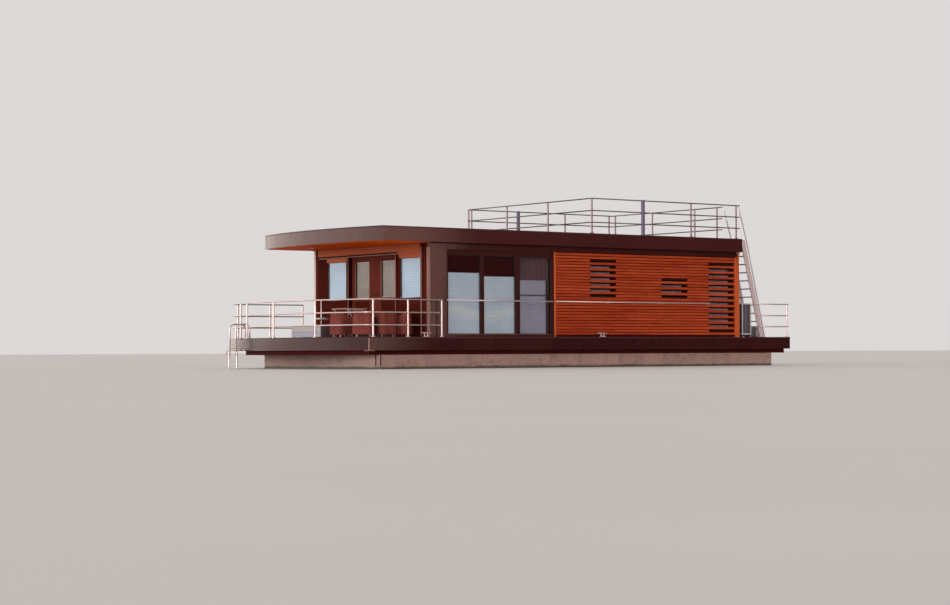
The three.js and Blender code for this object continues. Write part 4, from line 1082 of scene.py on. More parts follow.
def make_railings():
    base, height, radius, inset, port, starboard = DECK["top"] + 0.0003, 0.9997, 0.019, 0.06, -2.94, 4.09

    def on_bow(*ys):
        return [(bow_x(DECK, inset, y), y) for y in ys]

    def plan(y0, y1, steps, *ends):
        arc = on_bow(*[y0 + (y1 - y0) * i / steps for i in range(steps + 1)])
        bend = rounded([(x, y, 0) for x, y in (arc[-1], *ends)], 0.2, 8)
        return arc[:-1] + [(p.x, p.y) for p in bend]

    bow_posts = [*on_bow(2.54, 0.85, -1.07), (-7.34, port), (-6.235, port), (-5.145, port)]
    railing("railing_bow", "deck_rail_bow", plan(2.54, -2.6, 28, (-7.478, port), (-5.125, port)), bow_posts,
            base, height, radius, RAILS)
    side_posts = [*on_bow(3.08), (-7.26, starboard), (-6.186, starboard), (-5.084, starboard)]
    railing("railing_starboard", "deck_rail_starboard",
            plan(3.08, 3.7, 8, (-7.44, starboard), (-5.064, starboard)), side_posts, base, height, radius,
            RAILS)
    shape = Shape()
    post(shape, 7.685, port, base, height - 2 * radius)
    for level in RAIL_LEVELS:
        z = base + height * level - radius
        x = stair_x(z)
        tube(shape, [(x - 0.073, port, z), (7.74, port, z)], radius)
        tube(shape, [(x, port, z), (x, -2.8706, z)], 0.013, 12)
        turned(shape, (x, -2.8705, z), [(0.024, 0), (0.024, 0.004), (0.014, 0.010)], (0, -1, 0), 16)
    shape.piece("railing_stern", [RAILS, POST_PAINT], "rail_metal", "deck_rail_stern")
    # Round the roof terrace: side, the rail's ends, posts, thick post
    x0, x1 = 0.05, 5.74
    sides = [(side, [(x0, y), (x1, y)], [(x0, y), (3.8, y), (5.6, y)], (1.95, y))
             for side, y in (("port", -2.95), ("starboard", 2.85))]
    sides.append(("bow", [(x0, -2.913), (x0, 2.813)], [(x0, -0.98), (x0, 0.95), (x0, 2.7)], None))
    sides.append(("stern", [(x1, 2.813), (x1, -2.2)], [(x1, 2.7), (x1, 0.93), (x1, -1.0), (x1, -1.98)],
                  None))
    for side, rail, posts, thick in sides:
        railing(f"roof_railing_{side}", f"roof_rail_{side}", rail, posts, ROOF["top"] + 0.0003, 1.0, 0.017,
                DARK_RAILS, thick)


def make_stair():
    shape = Shape()
    foot, foot_plate, head, rise = 1.404, 1.4035, 4.276, 0.24192
    treads = [DECK["top"] + rise * i for i in range(1, 12)]

    def lean(p):
        return Vector((p.x + stair_x(p.z), p.y, p.z))

    # Each stringer's y, its outer side, and where its web and its outer face are
    for y0, out, web, face in ((-2.87, -1, 0.001, -0.0002), (-2.25, 1, 0.022, 0.0302)):
        block(shape, (-0.0795, y0 + web, foot), (0.0795, y0 + web + 0.007, head), 0.0015, 0.6, 0, lean)
        for x in (-0.08, 0.072):
            block(shape, (x, y0, foot), (x + 0.008, y0 + 0.03, head), 0.0015, 0.4, 0, lean)
        block(shape, (6.58, y0 - 0.02, ON_DECK), (6.83, y0 + 0.05, foot_plate), 0.002)
        for x in (6.6, 6.81):
            bolt(shape, (x, y0 + 0.015, foot_plate), radius=0.008)
        for z in treads:
            for dx in (-0.03, 0.03):
                at = (stair_x(z - 0.015) + dx, y0 + face, z - 0.015)
                turned(shape, at, [(0.008, -0.004), (0.008, 0.001), (0.005, 0.0035)], (0, out, 0), 10)
    for z in treads:
        x = stair_x(z)
        block(shape, (x - 0.06, -2.8605, z - 0.03), (x + 0.075, -2.2295, z - 0.005), 0.003, random.random())
        for k in range(7):
            rib = x - 0.054 + 0.02 * k
            block(shape, (rib, -2.838, z - 0.006), (rib + 0.008, -2.252, z - 0.0005), 0.0015,
                  random.random())
    for x1, low in ((5.812, 4.19), (5.968, 4.264)):
        block(shape, (5.8005, -2.868, low), (x1, -2.222, head), 0.002)
    for y in (-2.75, -2.545, -2.34):
        bolt(shape, (5.812, y, 4.225), (1, 0, 0))
    shape.piece("boarding_stair", ALUMINIUM, "aluminium", "roof_stair")
    end_x = 6.812
    for side, y, seat_y in (("port", -2.87, -2.855), ("starboard", -2.235, -2.235)):
        shape = Shape()
        tube(shape, rounded([(5.762, y, 5.281), (6.092, y, 4.298), (end_x, y, 1.402)], 0.5, 10), 0.018)
        turned(shape, (end_x, y, ON_DECK), [(0.03, 0), (0.03, 0.006), (0.021, 0.008), (0.0185, 0.02)],
               sides=20)
        for z in (3.898, 2.798):
            rail_x = 6.09 + 0.72 / 2.893 * (4.298 - z)
            tube(shape, [(stair_x(z) + 0.081, seat_y, z), (rail_x, y, z)], 0.009, 10)
        shape.piece(f"stair_rail_{side}", ALUMINIUM, "aluminium", f"stair_handrail_{side}")


def make_wall_handrails():
    y, z = -2.875, 2.375
    # Name, the rail's ends, the wall's face, flange radius, feet
    rails = [("fore", -4.92, -1.31, -2.787, 0.015, (-4.849, -3.691, -2.48)),
             ("aft", -1.186, 4.59, -2.806, 0.03, (-1.12, 0.74, 2.66, 4.57))]
    for side, x0, x1, face, flange, feet in rails:
        shape = Shape()
        tube(shape, [(x0, y, z), (x1, y, z)], 0.017, 16)
        for x in feet:
            tube(shape, rounded([(x, y, z), (x, y + 0.03, z - 0.001), (x, face - 0.001, z)], 0.01, 2),
                 0.009, 10)
            turned(shape, (x, face, z), [(flange, 0), (flange, 0.004), (0.012, 0.007)], (0, -1, 0), 20)
            turned(shape, (x - 0.02, y, z), [(0.0195, 0), (0.0195, 0.04)], (1, 0, 0), 16)
        shape.piece(f"port_handrail_{side}", PORT_RAIL, "rail_metal", f"wall_handrail_{side}")


def rung(shape, x, y0, y1, z):
    """A rung with ribbed grips over its middle."""
    tube(shape, [(x, y0, z), (x, y1, z)], 0.0125)
    length = y1 - y0 - 0.1
    count = round(length / 0.016)
    starts = [length * i / count for i in range(count)]
    rib = [(0.0142, 0), (0.0158, 0.004), (0.0158, 0.010), (0.0142, 0.014)]
    ribs = [(radius, start + on) for start in starts for radius, on in rib]
    turned(shape, (x, y0 + 0.05, z), ribs, (0, 1, 0), 14, 0.5, 1)


def make_ladder():
    shape = Shape()
    x, top, strut_z, near, far = -8.17, 1.791, 1.07, 2.64, 2.98
    for y, out in ((near, -1), (far, 1)):
        edge_x = bow_x(DECK, 0, y)
        deck_x = edge_x + 0.18
        tube(shape, rounded([(x, y, 0.925), (x, y, top), (deck_x, y, top), (deck_x, y, 1.4)], 0.17, 10),
             0.02, 16)
        turned(shape, (deck_x, y, ON_DECK), [(0.045, 0), (0.045, 0.006), (0.03, 0.008), (0.022, 0.022)],
               sides=22)
        tube(shape, [(x, y, strut_z), (edge_x - 0.008, y, strut_z)], 0.014, 12)
        turned(shape, (edge_x - 0.004, y, strut_z), [(0.032, 0), (0.032, 0.005), (0.018, 0.008)],
               (-1, 0, 0), 18)
        turned(shape, (x, y + out * 0.02, 0.98), [(0.009, -0.04), (0.009, 0.046), (0.007, 0.05)],
               (0, out, 0), 14)
    for z in (1.375, strut_z):
        rung(shape, x, near, far, z)
    tube(shape, rounded([(x, 2.97, strut_z), (x, 3.14, strut_z), (x, 3.17, 0.96)], 0.04, 5), 0.016, 12)
    shape.piece("ladder_hoops", [RAILS, RAILS], "rail_metal", "swim_ladder")
    lower = Shape()
    y0, y1 = 2.593, 3.027
    for y in (y0, y1):
        tube(lower, [(x, y, 1.014), (x, y, 0.136)], 0.02, 16)
        turned(lower, (x, y, 0.98), [(0.0225, -0.03), (0.024, -0.026), (0.024, 0.026), (0.0225, 0.03)])
        turned(lower, (x, y, 0.128), [(0.021, 0), (0.022, 0.006), (0.022, 0.03)], sides=16, mat=1)
    for z in (0.764, 0.464, 0.164):
        rung(lower, x, y0, y1, z)
    lower.piece("ladder_steps", [RAILS, RAILS], "rail_metal", "swim_ladder_lower", "ladder_lower")


def make_cleats():
    places = [("cleat_port_fore", -5.63, -2.9), ("cleat_port_aft", 0.455, -2.9),
              ("cleat_starboard_fore", -4.5, 4.04), ("cleat_starboard_aft", 6.2, 4.04)]
    plate_top = 1.409
    for node, x, y in places:
        shape = Shape()
        block(shape, (x - 0.09, y - 0.04, ON_DECK), (x + 0.09, y + 0.04, plate_top))
        for side in (-1, 1):
            leg = [(x + side * on, y, z)
                   for on, z in ((0.04, 1.404), (0.047, 1.43), (0.056, 1.47), (0.062, 1.494))]
            tube(shape, leg, [0.024, 0.0165, 0.0145, 0.017])
            for dy in (-0.026, 0.026):
                bolt(shape, (x + side * 0.075, y + dy, plate_top), radius=0.007)
        steps = [i / 8 - 1 for i in range(17)]
        horn = [(x + 0.174 * t, y, 1.4985 + 0.008 * t * t) for t in steps]
        tube(shape, horn, [0.019 - 0.0105 * abs(t) ** 3 for t in steps], 16, cap=0.5)
        shape.piece(f"mooring_{node}", RAILS, "rail_metal", node)


# ---- Machines and boxes on the stern deck ----
def holed_panel(shape, xs, ys, zs, middle, radius):
    """A panel across X with a round hole, and a rolled edge round the hole."""
    (cy, cz), steps = middle, 64
    ring, edge = [], []
    for c, s in circle(steps):
        ring.append((cy + radius * c, cz + radius * s))
        reach = min((bounds[way > 0] - centre) / way if abs(way) > 1e-6 else 1e9
                    for bounds, centre, way in ((ys, cy, c), (zs, cz, s)))
        edge.append((cy + reach * c, cz + reach * s))
    loops = ((xs[0], ring), (xs[0], edge), (xs[1], edge), (xs[1], ring))
    shape.add([(x, y, z) for x, loop in loops for y, z in loop], loft(4, steps, True))
    tube(shape, [(xs[1], y, z) for y, z in ring], 0.006, 8, 0.6, closed=True)


def make_heat_pump():
    x0, x1, y0, y1, low, high = 5.925, 6.295, -2.85, -1.95, 1.455, 2.395
    fan_y, fan_z, hole, dark = -2.45, 1.94, 0.3, 2
    inside_low, inside_high = low + 0.05, high - 0.036

    def round_fan(x, radius, count):
        return [(x, fan_y + radius * c, fan_z + radius * s) for c, s in circle(count)]

    shape = Shape()
    block(shape, (x0, y0, high - 0.035), (x1, y1, high), 0.012, 0.7)
    block(shape, (x0, y0, low), (x1, y1, inside_low), 0.006, 0.3)
    for x in (x0 + 0.002, x1 - 0.034):
        for y in (y0 + 0.001, y1 - 0.033):
            block(shape, (x, y, low + 0.045), (x + 0.032, y + 0.032, high - 0.03), 0.005)
    block(shape, (x0 + 0.036, y1 - 0.012, low + 0.045), (x1 - 0.036, y1 - 0.004, high - 0.03), 0.003)
    face, height, hole_to = (x1 - 0.012, x1 - 0.002), (low + 0.048, high - 0.034), fan_y + 0.36
    holed_panel(shape, face, (fan_y - 0.36, hole_to), height, (fan_y, fan_z), hole)
    block(shape, (face[0], hole_to + 0.003, height[0]), (face[1], y1 - 0.034, height[1]), 0.002, 0.55)
    for z in (1.75, 1.77, 1.79, 1.81):
        block(shape, (x1 - 0.003, hole_to + 0.02, z), (x1 + 0.002, y1 - 0.05, z + 0.008), 0.002, 0.4)
    for z in (2.12, 2.2):
        pipe = [(0.02, 0), (0.02, 0.012), (0.012, 0.014), (0.012, 0.03), (0.009, 0.034)]
        turned(shape, (x0 + 0.11, y1 - 0.005, z), pipe, (0, 1, 0), 12, 0.5, dark)
    # Guard bars and the coil's fins on the port and fore faces
    for i in range(24):
        z = low + 0.062 + i * 0.035
        block(shape, (x0 + 0.034, y0 + 0.010, z), (x1 - 0.034, y0 + 0.020, z + 0.004), 0.001, 0.5, 1)
        block(shape, (x0 + 0.010, y0 + 0.034, z), (x0 + 0.020, y1 - 0.034, z + 0.004), 0.001, 0.5, 1)
    fins = [((x0 + 0.04 + k * 0.0083, 0.0016), (y0 + 0.021, 0.021)) for k in range(30)]
    fins += [((x0 + 0.021, 0.021), (y0 + 0.04 + k * 0.0103, 0.0018)) for k in range(80)]
    for (x, wide), (y, deep) in fins:
        block(shape, (x, y, inside_low), (x + wide, y + deep, inside_high), 0.0004, random.random(), 1)
    block(shape, (x0 + 0.15, y0 + 0.006, inside_low), (x0 + 0.156, y0 + 0.010, inside_high), 0.001)
    block(shape, (x0 + 0.045, y0 + 0.045, inside_low), (x0 + 0.055, y1 - 0.036, inside_high), 0.002, 0.3,
          dark)
    # The fan's grille, shroud and motor
    for k in range(1, 12):
        radius = 0.025 * k
        domed = x1 + 0.0015 + 0.004 * (1 - (radius / hole) ** 2)
        tube(shape, round_fan(domed, radius, 48), 0.0018, 6, 0.5, dark, closed=True)
    for c, s in circle(8, 0.2):
        path = [(x1 + 0.003 * (1 - t * t), fan_y + 0.304 * t * c, fan_z + 0.304 * t * s)
                for t in (0.06, 0.35, 0.7, 1.0)]
        tube(shape, path, 0.0025, 6, 0.5, dark)
    turned(shape, (x1, fan_y, fan_z), [(0.03, 0), (0.03, 0.004), (0.02, 0.007)], (1, 0, 0), 20, 0.5, dark)
    shroud = [p for x, radius in ((0.12, 0.303), (0.012, 0.303), (0.012, 0.309), (0.12, 0.309))
              for p in round_fan(x1 - x, radius, 48)]
    shape.add(shroud, loft(4, 48, True), 0.3, True, dark)
    tube(shape, [(x1 - 0.16, fan_y, fan_z), (x1 - 0.045, fan_y, fan_z)], 0.01, 12, 0.5, dark)
    turned(shape, (x1 - 0.25, fan_y, fan_z), [(0.06, 0), (0.07, 0.02), (0.07, 0.1), (0.05, 0.12)],
           (1, 0, 0), 24, 0.4, dark)
    for y in (y0 + 0.12, y1 - 0.12):
        block(shape, (x0, y - 0.04, 1.407), (x1, y + 0.04, 1.4545), 0.004, 0.4, dark)
        for x in (x0 + 0.03, x1 - 0.08):
            block(shape, (x, y - 0.038, ON_DECK), (x + 0.05, y + 0.038, 1.4065), 0.003, 0.3, dark)
    shape.piece("air_unit", [WHITE, FINS, POWDER], "white_plastic", "heat_pump")
    fan, hub_x = Shape(), x1 - 0.11
    hub = [(0.055, 0), (0.06, 0.006), (0.06, 0.04), (0.052, 0.052), (0.03, 0.0595)]
    turned(fan, (hub_x, fan_y, fan_z), hub, (1, 0, 0), 28, 0.4)
    rows, columns = 9, 8
    for blade in range(3):
        points = []
        for layer in (0, 1):
            for i in range(rows + 1):
                share = i / rows
                radius, spread = 0.052 + 0.226 * share, math.radians(34 - 7 * share)
                for k in range(columns + 1):
                    t = k / columns * 2 - 1
                    angle = math.radians(120 * blade) + spread * t + 0.25 * share
                    lift = 0.026 * t * (1 - 0.35 * share) + 0.006 * (1 - t * t)
                    points.append((hub_x + 0.03 + lift + 0.003 * layer,
                                   fan_y + radius * math.cos(angle), fan_z + radius * math.sin(angle)))
        fan.add(points, grid_faces(columns + 1, rows), random.random(), True)
    fan.piece("fan_wheel", FAN_PLASTIC, "fan_plastic", "heat_pump_fan", "fan")


def make_stern_box():
    low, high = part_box("stern_box")
    shape = Shape()
    block(shape, (low.x, low.y, low.z + 0.02), (high.x, high.y, high.z - 0.05), 0.008, 0.4)
    block(shape, (low.x, low.y, high.z - 0.046), high, 0.01, 0.8)
    block(shape, (low.x + 0.02, low.y + 0.02, low.z), (high.x - 0.02, high.y - 0.02, low.z + 0.02), 0.003,
          0.2, 1)
    for k in range(6):
        z = low.z + 0.06 + 0.014 * k
        block(shape, (low.x + 0.08, low.y - 0.003, z), (high.x - 0.08, low.y + 0.002, z + 0.006), 0.0015,
              0.5, 1)
    block(shape, (low.x + 0.1, low.y - 0.006, high.z - 0.075),
          (low.x + 0.14, low.y + 0.001, high.z - 0.03), 0.002, 0.5, 2)
    shape.piece("service_box", [WHITE, POWDER, ALUMINIUM], "inner_panel", "stern_box")


# ---- Terrace furniture ----
def make_deck_box():
    low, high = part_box("deck_box")
    x0, x1, y0, y1 = low.x, high.x, low.y, high.y
    shape = Shape()
    wall, seam, floor = 0.028, low.z + 0.15, low.z + 0.012
    # The lower part (material 1) is grey as painted shade; the port side (material 3) is darker, partly its
    # own colour and partly painted shade.
    for z0, z1, tone, mat in ((floor, seam - 0.002, 0.2, 1), (seam, high.z, 0.7, 0)):
        for a0, a1, b0, b1, side_mat in ((x0, x0 + wall, y0, y1, mat), (x1 - wall, x1, y0, y1, mat),
                                         (x0 + wall, x1 - wall, y0, y0 + wall, 3),
                                         (x0 + wall, x1 - wall, y1 - wall, y1, mat)):
            block(shape, (a0, b0, z0), (a1, b1, z1), 0.004, tone + 0.1 * random.random(), side_mat)
    block(shape, (x0 + wall, y0 + wall, floor), (x1 - wall, y1 - wall, low.z + 0.028), 0.002, 0.4, 1)
    for x in (x0 + 0.02, x1 - 0.05):
        for y in (y0 + 0.03, y1 - 0.08):
            block(shape, (x, y, low.z), (x + 0.03, y + 0.05, floor), 0.003, 0.3, 2)
    ribs = 14
    for k in range(ribs):
        y = y0 + (y1 - y0) * (k + 0.5) / ribs
        block(shape, (x0 - 0.003, y - 0.012, seam + 0.02), (x0 + 0.003, y + 0.012, high.z - 0.02), 0.0025,
              0.6)
    shape.piece("storage_box", [WHITE, BOX_GREY, RUBBER, END_GREY], "white_plastic", "deck_box")
    low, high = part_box("deck_box_lid")
    lid = Shape()
    block(lid, (low.x, low.y, low.z + 0.001), (high.x, high.y, high.z - 0.008), 0.006, 0.7)
    block(lid, (low.x + 0.012, low.y + 0.012, high.z - 0.010), (high.x - 0.012, high.y - 0.012, high.z),
          0.006, 0.8)
    for y in (low.y + 0.2, high.y - 0.2):
        turned(lid, (high.x, y - 0.03, low.z + 0.004), [(0.008, 0), (0.008, 0.06)], (0, 1, 0), 12, 0.5, 1)
    lid.piece("storage_box_lid", [WHITE, ALUMINIUM], "white_plastic", "deck_box_lid", "box_lid")


def make_table():
    low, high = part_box("terrace_table")
    edge, count = 0.045, 16
    shape = Shape()
    inner = high.y - low.y - 2 * edge
    half = inner / (2 * count) - 0.0025
    for k in range(count):
        y = low.y + edge + inner * (k + 0.5) / count
        block(shape, (low.x + edge, y - half, high.z - 0.024), (high.x - edge, y + half, high.z - 0.001),
              0.003, random.random())
    for y0, y1 in ((low.y, low.y + edge - 0.001), (high.y - edge + 0.001, high.y)):
        block(shape, (low.x, y0, high.z - 0.03), (high.x, y1, high.z), 0.006)
    for x0, x1 in ((low.x, low.x + edge - 0.001), (high.x - edge + 0.001, high.x)):
        block(shape, (x0, low.y + edge, high.z - 0.03), (x1, high.y - edge, high.z), 0.006)
    fore, aft = low.x + 0.06, high.x - 0.06
    centre, middle = (fore + aft) / 2, (low.z + high.z) / 2 - 0.011
    for y, way in ((low.y + 0.06, 1), (high.y - 0.06, -1)):
        for a, b, dy in ((fore, aft, -0.0085), (aft, fore, 0.0085)):
            tube(shape, [(a, y + dy, low.z + 0.012), (b, y + dy, high.z - 0.034)], 0.0155, 14, 0.6, 1)
            block(shape, (a - 0.022, y + dy - 0.016, low.z), (a + 0.022, y + dy + 0.016, low.z + 0.014),
                  0.004, 0.3, 2)
        turned(shape, (centre, y - 0.028, middle), [(0.011, 0), (0.011, 0.056)], (0, 1, 0), 12, 0.5, 1)
        block(shape, (fore - 0.03, y - 0.018, high.z - 0.05), (aft + 0.03, y + 0.018, high.z - 0.031),
              0.003, 0.4, 1)
        tube(shape, [(fore + 0.12, y, low.z + 0.162), (fore + 0.12, y + way * 0.001, low.z + 0.163)],
             0.006, 8, 0.5, 1)
    tube(shape, [(centre, low.y + 0.07, middle), (centre, high.y - 0.07, middle)], 0.0115, 12, 0.5, 1)
    shape.piece("dining_table", [TABLE_WOOD, ALUMINIUM, RUBBER], "white_plastic", "terrace_table")


def make_side_table():
    low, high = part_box("side_table")
    x, y = (low.x + high.x) / 2, (low.y + high.y) / 2
    at, top = (x, y, low.z), 0.55
    shape = Shape()
    foot = [(0.16, 0), (0.16, 0.004), (0.154, 0.010), (0.06, 0.013), (0.03, 0.018), (0.018, 0.03),
            (0.0165, 0.05)]
    disc = [(0.03, top - 0.07), (0.10, top - 0.052), (0.19, top - 0.048), (0.2, top - 0.048),
            (0.207, top - 0.044), (0.21, top - 0.006), (0.208, top), (0.202, top - 0.001),
            (0.196, top - 0.007), (0.02, top - 0.007)]
    knob = [(0.0135, 0.99), (0.019, 0.998), (0.0205, 1.008), (0.017, 1.016), (0.008, 1.0195)]
    turned(shape, at, foot, sides=40, mat=1)
    tube(shape, [(x, y, low.z + 0.02), (x, y, high.z - 0.012)], 0.0125, 14, 0.5, 1)
    turned(shape, at, disc, sides=48)
    turned(shape, at, knob, sides=16, mat=1)
    shape.piece("pole_table", [WHITE, RAILS], "white_plastic", "side_table")


def tub_plan():
    """A chair's plan from one arm's front to the other's: its length, and its place and outward way there."""
    half = 0.2225
    points = rounded([(half, half, 0), (-half, half, 0), (-half, -half, 0), (half, -half, 0)], 0.11, 10)
    lengths = [0.0]
    for a, b in zip(points, points[1:]):
        lengths.append(lengths[-1] + (b - a).length)

    def at(s):
        i = next((i for i in range(len(points) - 2) if s <= lengths[i + 1]), len(points) - 2)
        way = (points[i + 1] - points[i]).normalized()
        share = (s - lengths[i]) / (lengths[i + 1] - lengths[i])
        return points[i].lerp(points[i + 1], share), Vector((-way.y, way.x, 0))

    return lengths[-1], at


def woven_chair(name, node, turn):
    """A tub chair of woven strands on four short legs."""
    low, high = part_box(node)
    centre = ((low.x + high.x) / 2, (low.y + high.y) / 2, low.z)
    place = Matrix.Translation(centre) @ Matrix.Rotation(math.radians(turn), 4, "Z")
    total, plan_at = tub_plan()
    columns, rows, strand, foot, arm, back, wall = 120, 52, 0.0026, 0.075, 0.537, 0.657, 0.038
    shape = Shape()

    def top_at(s):
        share = 1 - min(1, max(0, (abs(s / total * 2 - 1) - 0.30) / 0.34))
        return arm + (back - arm) * share * share * (3 - 2 * share)

    def on_shell(s, z, out_by, flared=True):
        p, out = plan_at(s)
        flare = 0.034 * z / back - 0.034 if flared else 0
        return place @ (Vector((p.x, p.y, z)) + out * (flare + out_by))

    grid = []
    for layer, way in ((0.0, 1), (-wall, -1)):
        for j in range(rows + 1):
            for i in range(columns + 1):
                s = total * i / columns
                edge = i in (0, columns) or j in (0, rows)
                wave = 0 if edge else way * strand * (-1) ** (i + j)
                grid.append(on_shell(s, foot + (top_at(s) - foot) * j / rows, layer + wave))
    shape.add(grid, grid_faces(columns + 1, rows), 0.5, True)
    stations = [total * i / columns for i in range(0, columns + 1, 2)]
    tube(shape, [on_shell(s, top_at(s) + 0.002, -wall / 2, False) for s in stations], 0.0195, 12, 0.7)
    for s in (0, total):
        tube(shape, [on_shell(s, z, -wall / 2) for z in (0.07, 0.3, arm)], 0.0185, 12, 0.6)
    seat, rows, columns = 0.325, 22, 34
    apron = []
    for x, depth in ((0.205, strand), (0.185, 0)):
        for j in range(rows + 1):
            z = foot + (seat - foot) * j / rows
            for i in range(columns + 1):
                y = (-0.168 + 0.336 * i / columns) * (0.95 + 0.1 * z)
                apron.append(place @ Vector((x - depth * (-1) ** (i + j), y, z)))
    shape.add(apron, grid_faces(columns + 1, rows), 0.45, True)
    block(shape, (-0.175, -0.175, seat - 0.02), (0.2, 0.175, seat), 0.006, 0.3, 0, lambda p: place @ p)
    for x in (-0.165, 0.18):
        for y in (-0.165, 0.165):
            tube(shape, [place @ Vector((x * 1.08, y * 1.06, 0.004)), place @ Vector((x, y, 0.09))],
                 [0.011, 0.015], 12, 0.5, 1)
    shape.piece(name, [WICKER, ALUMINIUM], "wicker", node, sharp=60)
    return place


def stuffed(name, size, look):
    """A stuffed cushion: a voxel mesh blown up as cloth, with each point's travel capped."""
    voxel, swell, frames = 0.011, 0.02, 16
    work = bmesh.new()
    bmesh.ops.create_cube(work, size=1.0)
    bmesh.ops.subdivide_edges(work, edges=work.edges, cuts=5, use_grid_fill=True)
    for v in work.verts:
        x, y = abs(2 * v.co.x), abs(2 * v.co.y)
        pinch = 1 - 0.05 * (1 - x ** 2) * y ** 4 - 0.05 * (1 - y ** 2) * x ** 4
        crown = 1 - 0.35 * max(x, y) ** 3
        v.co = Vector((v.co.x * size[0] * pinch, v.co.y * size[1] * pinch, v.co.z * size[2] * crown))
    mesh = bpy.data.meshes.new(name)
    work.to_mesh(mesh)
    work.free()
    obj = placed(name, mesh)
    bpy.context.view_layer.objects.active = obj
    remesh = obj.modifiers.new("voxels", "REMESH")
    remesh.mode, remesh.voxel_size = "VOXEL", voxel
    bpy.ops.object.modifier_apply(modifier="voxels")
    rest = [v.co.copy() for v in obj.data.vertices]
    cloth = obj.modifiers.new("cloth", "CLOTH")
    cloth.settings.use_pressure = True
    cloth.settings.uniform_pressure_force = 4.0
    cloth.settings.effector_weights.gravity = 0
    cloth.settings.mass = 0.3
    cloth.point_cache.frame_start, cloth.point_cache.frame_end = 1, frames
    for step in range(1, frames + 1):
        bpy.context.scene.frame_set(step)
    bpy.ops.object.modifier_apply(modifier="cloth")
    bpy.context.scene.frame_set(1)
    for v, at in zip(obj.data.vertices, rest):
        move = v.co - at
        if move.length > swell:
            v.co = at + move.normalized() * swell
    smooth = obj.modifiers.new("smooth", "SMOOTH")
    smooth.factor, smooth.iterations = 0.5, 4
    bpy.ops.object.modifier_apply(modifier="smooth")
    obj.data.polygons.foreach_set("use_smooth", [True] * len(obj.data.polygons))
    obj.data.materials.append(look)
    return obj


def make_chairs():
    seat = stuffed("seat_cushion_1", (0.32, 0.31, 0.07), CUSHION)
    back = stuffed("back_cushion_1", (0.26, 0.29, 0.07), CUSHION)
    on_seat = Matrix.Translation((0.03, 0, 0.364))
    lean = Matrix.Translation((-0.118, 0, 0.525)) @ Matrix.Rotation(math.radians(79), 4, "Y")
    for number, turn in enumerate((0, 50, 90, 135), 1):
        place = woven_chair(f"woven_chair_{number}", f"terrace_chair_{number}", turn)
        for first, where in ((seat, on_seat), (back, lean)):
            obj = first if number == 1 else placed(first.name[:-1] + str(number), first.data)
            obj.matrix_world = place @ where
            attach(obj, "boat")


# ---- Small things ----
def make_small_things():
    shape = Shape()
    # The aft port corner's board, and the lamp on it
    x, y, z = 5.785, -2.862, 3.865
    block(shape, (5.757, -2.86, WALL_LOW), (5.80, -2.75, WALL_HIGH), 0.003, 0.5, 2)
    turned(shape, (x, y + 0.006, z), [(0.045, 0), (0.045, 0.008), (0.038, 0.012)], (0, -1, 0), 24)
    turned(shape, (x, y - 0.006, z), [(0.034, 0), (0.036, 0.02), (0.028, 0.045), (0.012, 0.058)],
           (0, -1, 0), 24, 0.5, 1)
    shape.piece("corner_lamp", [POWDER, LAMP, TIMBER_EDGE])
    shape = Shape()
    for y in (-1.9, -0.2, 1.5):
        turned(shape, (-6.4, y, 3.8935), [(0.05, 0), (0.05, 0.003), (0.042, 0.0035)], (0, 0, -1), 24)
        turned(shape, (-6.4, y, 3.892), [(0.034, 0), (0.034, 0.0025)], (0, 0, -1), 20, 0.5, 1)
    shape.piece("soffit_lights", [ALUMINIUM, LAMP])
    shape = Shape()
    block(shape, (-7.62, -3.012, 1.027), (-7.34, -2.93, 1.0445), 0.002)
    shape.piece("bow_corner_bracket", PALE_TRIM)
    shape = Shape()
    for x, y in ((-7.164, -2.795), (-7.095, -2.914)):
        tube(shape, [(x, y, 0.64), (x, y, 0.91)], 0.013, 12)
        for z in (0.68, 0.87):
            block(shape, (x - 0.01, y - 0.012, z - 0.01), (x + 0.013, y + 0.014, z + 0.01), 0.002, 0.4)
    shape.piece("pontoon_bow_bars", POWDER)


for name in nodes:
    if "glass" in name:
        repaint(name, GLASS)
repaint("cabin_floor", CABIN_FLOOR)
make_hull()
make_roof()
make_port_wall()
make_cladding()
make_port_windows()
make_sheer_curtain()
make_starboard_side()
make_aft_wall()
make_front_wall()
make_corner_post()
make_doors()
make_railings()
make_stair()
make_wall_handrails()
make_ladder()
make_cleats()
make_heat_pump()
make_stern_box()
make_deck_box()
make_table()
make_side_table()
make_chairs()
make_small_things()


# ---- Stage, light and camera ----
def make_stage():
    mesh = bpy.data.meshes.new("floor")
    far = 600.0
    mesh.from_pydata([(-far, -far, 0), (far, -far, 0), (far, far, 0), (-far, far, 0)], [], [[0, 1, 2, 3]])
    floor = placed("floor", mesh)
    floor.location.z = WATERLINE
    look = Look("floor", 0.6)
    look.set("Base Color", look.mix(look.noise(0.3, detail=2), (0.56, 0.54, 0.52), (0.60, 0.58, 0.56)))
    mesh.materials.append(look.material)


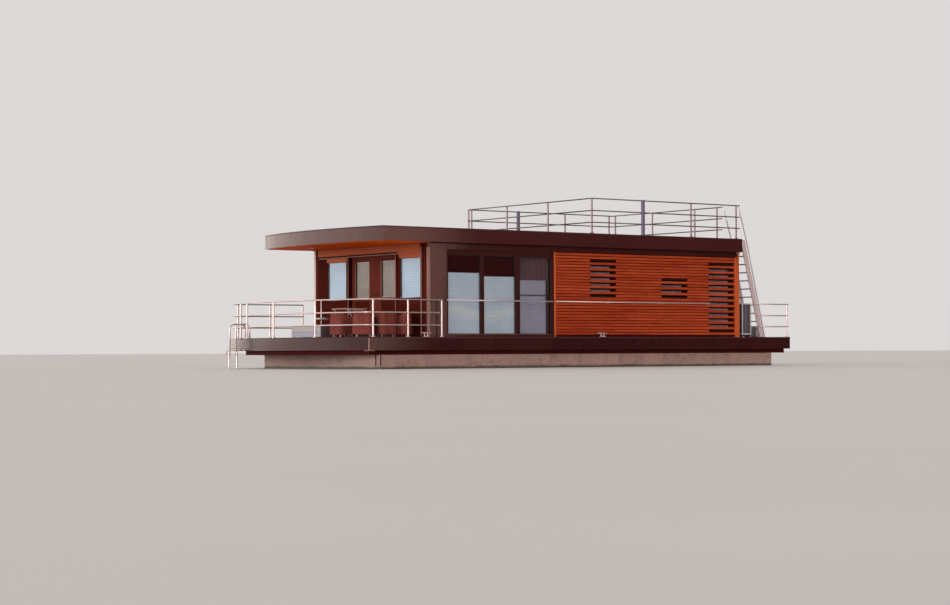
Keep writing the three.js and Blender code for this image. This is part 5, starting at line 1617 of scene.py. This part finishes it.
def make_dome():
    """Light from all round, brighter beside the bow, and two warm glows for port side and soffit."""
    world = bpy.data.worlds.new("studio")
    bpy.context.scene.world = world
    world.use_nodes = True
    tree = world.node_tree

    def add(kind, settings, *inputs):
        made = tree.nodes.new(kind)
        for key, value in settings.items():
            setattr(made, key, value)
        for socket, value in zip(made.inputs, inputs):
            if isinstance(value, bpy.types.NodeSocket):
                tree.links.new(value, socket)
            else:
                socket.default_value = value
        return made

    def towards(direction):
        return add("ShaderNodeVectorMath", {"operation": "DOT_PRODUCT"}, view, direction).outputs["Value"]

    def glow(direction, start, full, strength):
        return add("ShaderNodeMapRange", {"interpolation_type": "SMOOTHSTEP"}, towards(direction), start,
                   full, 0.0, strength)

    view = tree.nodes.new("ShaderNodeTexCoord").outputs["Generated"]
    bow_side, port_low, end_low = (-0.5, 0.866, 0.0), (0.342, -0.94, 0.0), (0.087, 0.996, 0.0)
    # How bright each light is over the directions, and its tint
    parts = [(add("ShaderNodeMapRange", {}, towards(bow_side), -1.0, 0.0, 0.10, 0.72), (1.0, 0.96, 0.95)),
             (glow(bow_side, 0.74, 0.93, 1.4), (1.0, 0.82, 0.70)),
             (glow(port_low, 0.9605, 0.978, 6.0), (1.0, 0.56, 0.44)),
             (glow(end_low, 0.985, 0.9975, 2.0), (1.0, 0.85, 0.78))]
    total = None
    for share, tint in parts:
        light = add("ShaderNodeVectorMath", {"operation": "SCALE"}, tint)
        tree.links.new(share.outputs[0], light.inputs["Scale"])
        light = light.outputs[0]
        if total:
            light = add("ShaderNodeVectorMath", {"operation": "ADD"}, total, light).outputs[0]
        total = light
    tree.links.new(total, tree.nodes["Background"].inputs[0])


def sun_light(name, way, strength, wide, colour):
    """A soft light from far off: way is where it shines, and wide its angle in degrees."""
    light = bpy.data.lights.new(name, "SUN")
    light.energy, light.color, light.angle = strength, colour, math.radians(wide)
    obj = placed(name, light)
    obj.location = (0, 0, 20)
    obj.rotation_mode = "QUATERNION"
    obj.rotation_quaternion = Vector(way).to_track_quat("-Z", "Y")


def make_camera():
    """The photograph's camera, fitted to the boat's corners."""
    yaw, pitch, roll = (math.radians(a) for a in (-36.714, 1.315, -0.258))
    forward = Vector((-math.sin(yaw) * math.cos(pitch), math.cos(yaw) * math.cos(pitch), math.sin(pitch)))
    right = Vector((math.cos(yaw), math.sin(yaw), 0))
    up = right.cross(forward)
    side = right * math.cos(roll) + up * math.sin(roll)
    top = up * math.cos(roll) - right * math.sin(roll)
    turn = Matrix((side, top, -forward)).transposed().to_4x4()
    lens = bpy.data.cameras.new("camera")
    lens.sensor_width, lens.lens, lens.clip_end = 36.0, 80.53, 2000
    camera = placed("camera", lens)
    camera.matrix_world = Matrix.Translation((-38.156, -48.683, 1.007)) @ turn
    bpy.context.scene.camera = camera


make_stage()
make_dome()
make_camera()
sun_light("bow_light", (0.97, 0.2, -0.14), 2.2, 30, (1.0, 0.92, 0.87))
sun_light("side_light", (0.1, 0.8, -0.6), 0.6, 60, (1.0, 0.95, 0.92))
bpy.context.scene.view_settings.view_transform = "Standard"
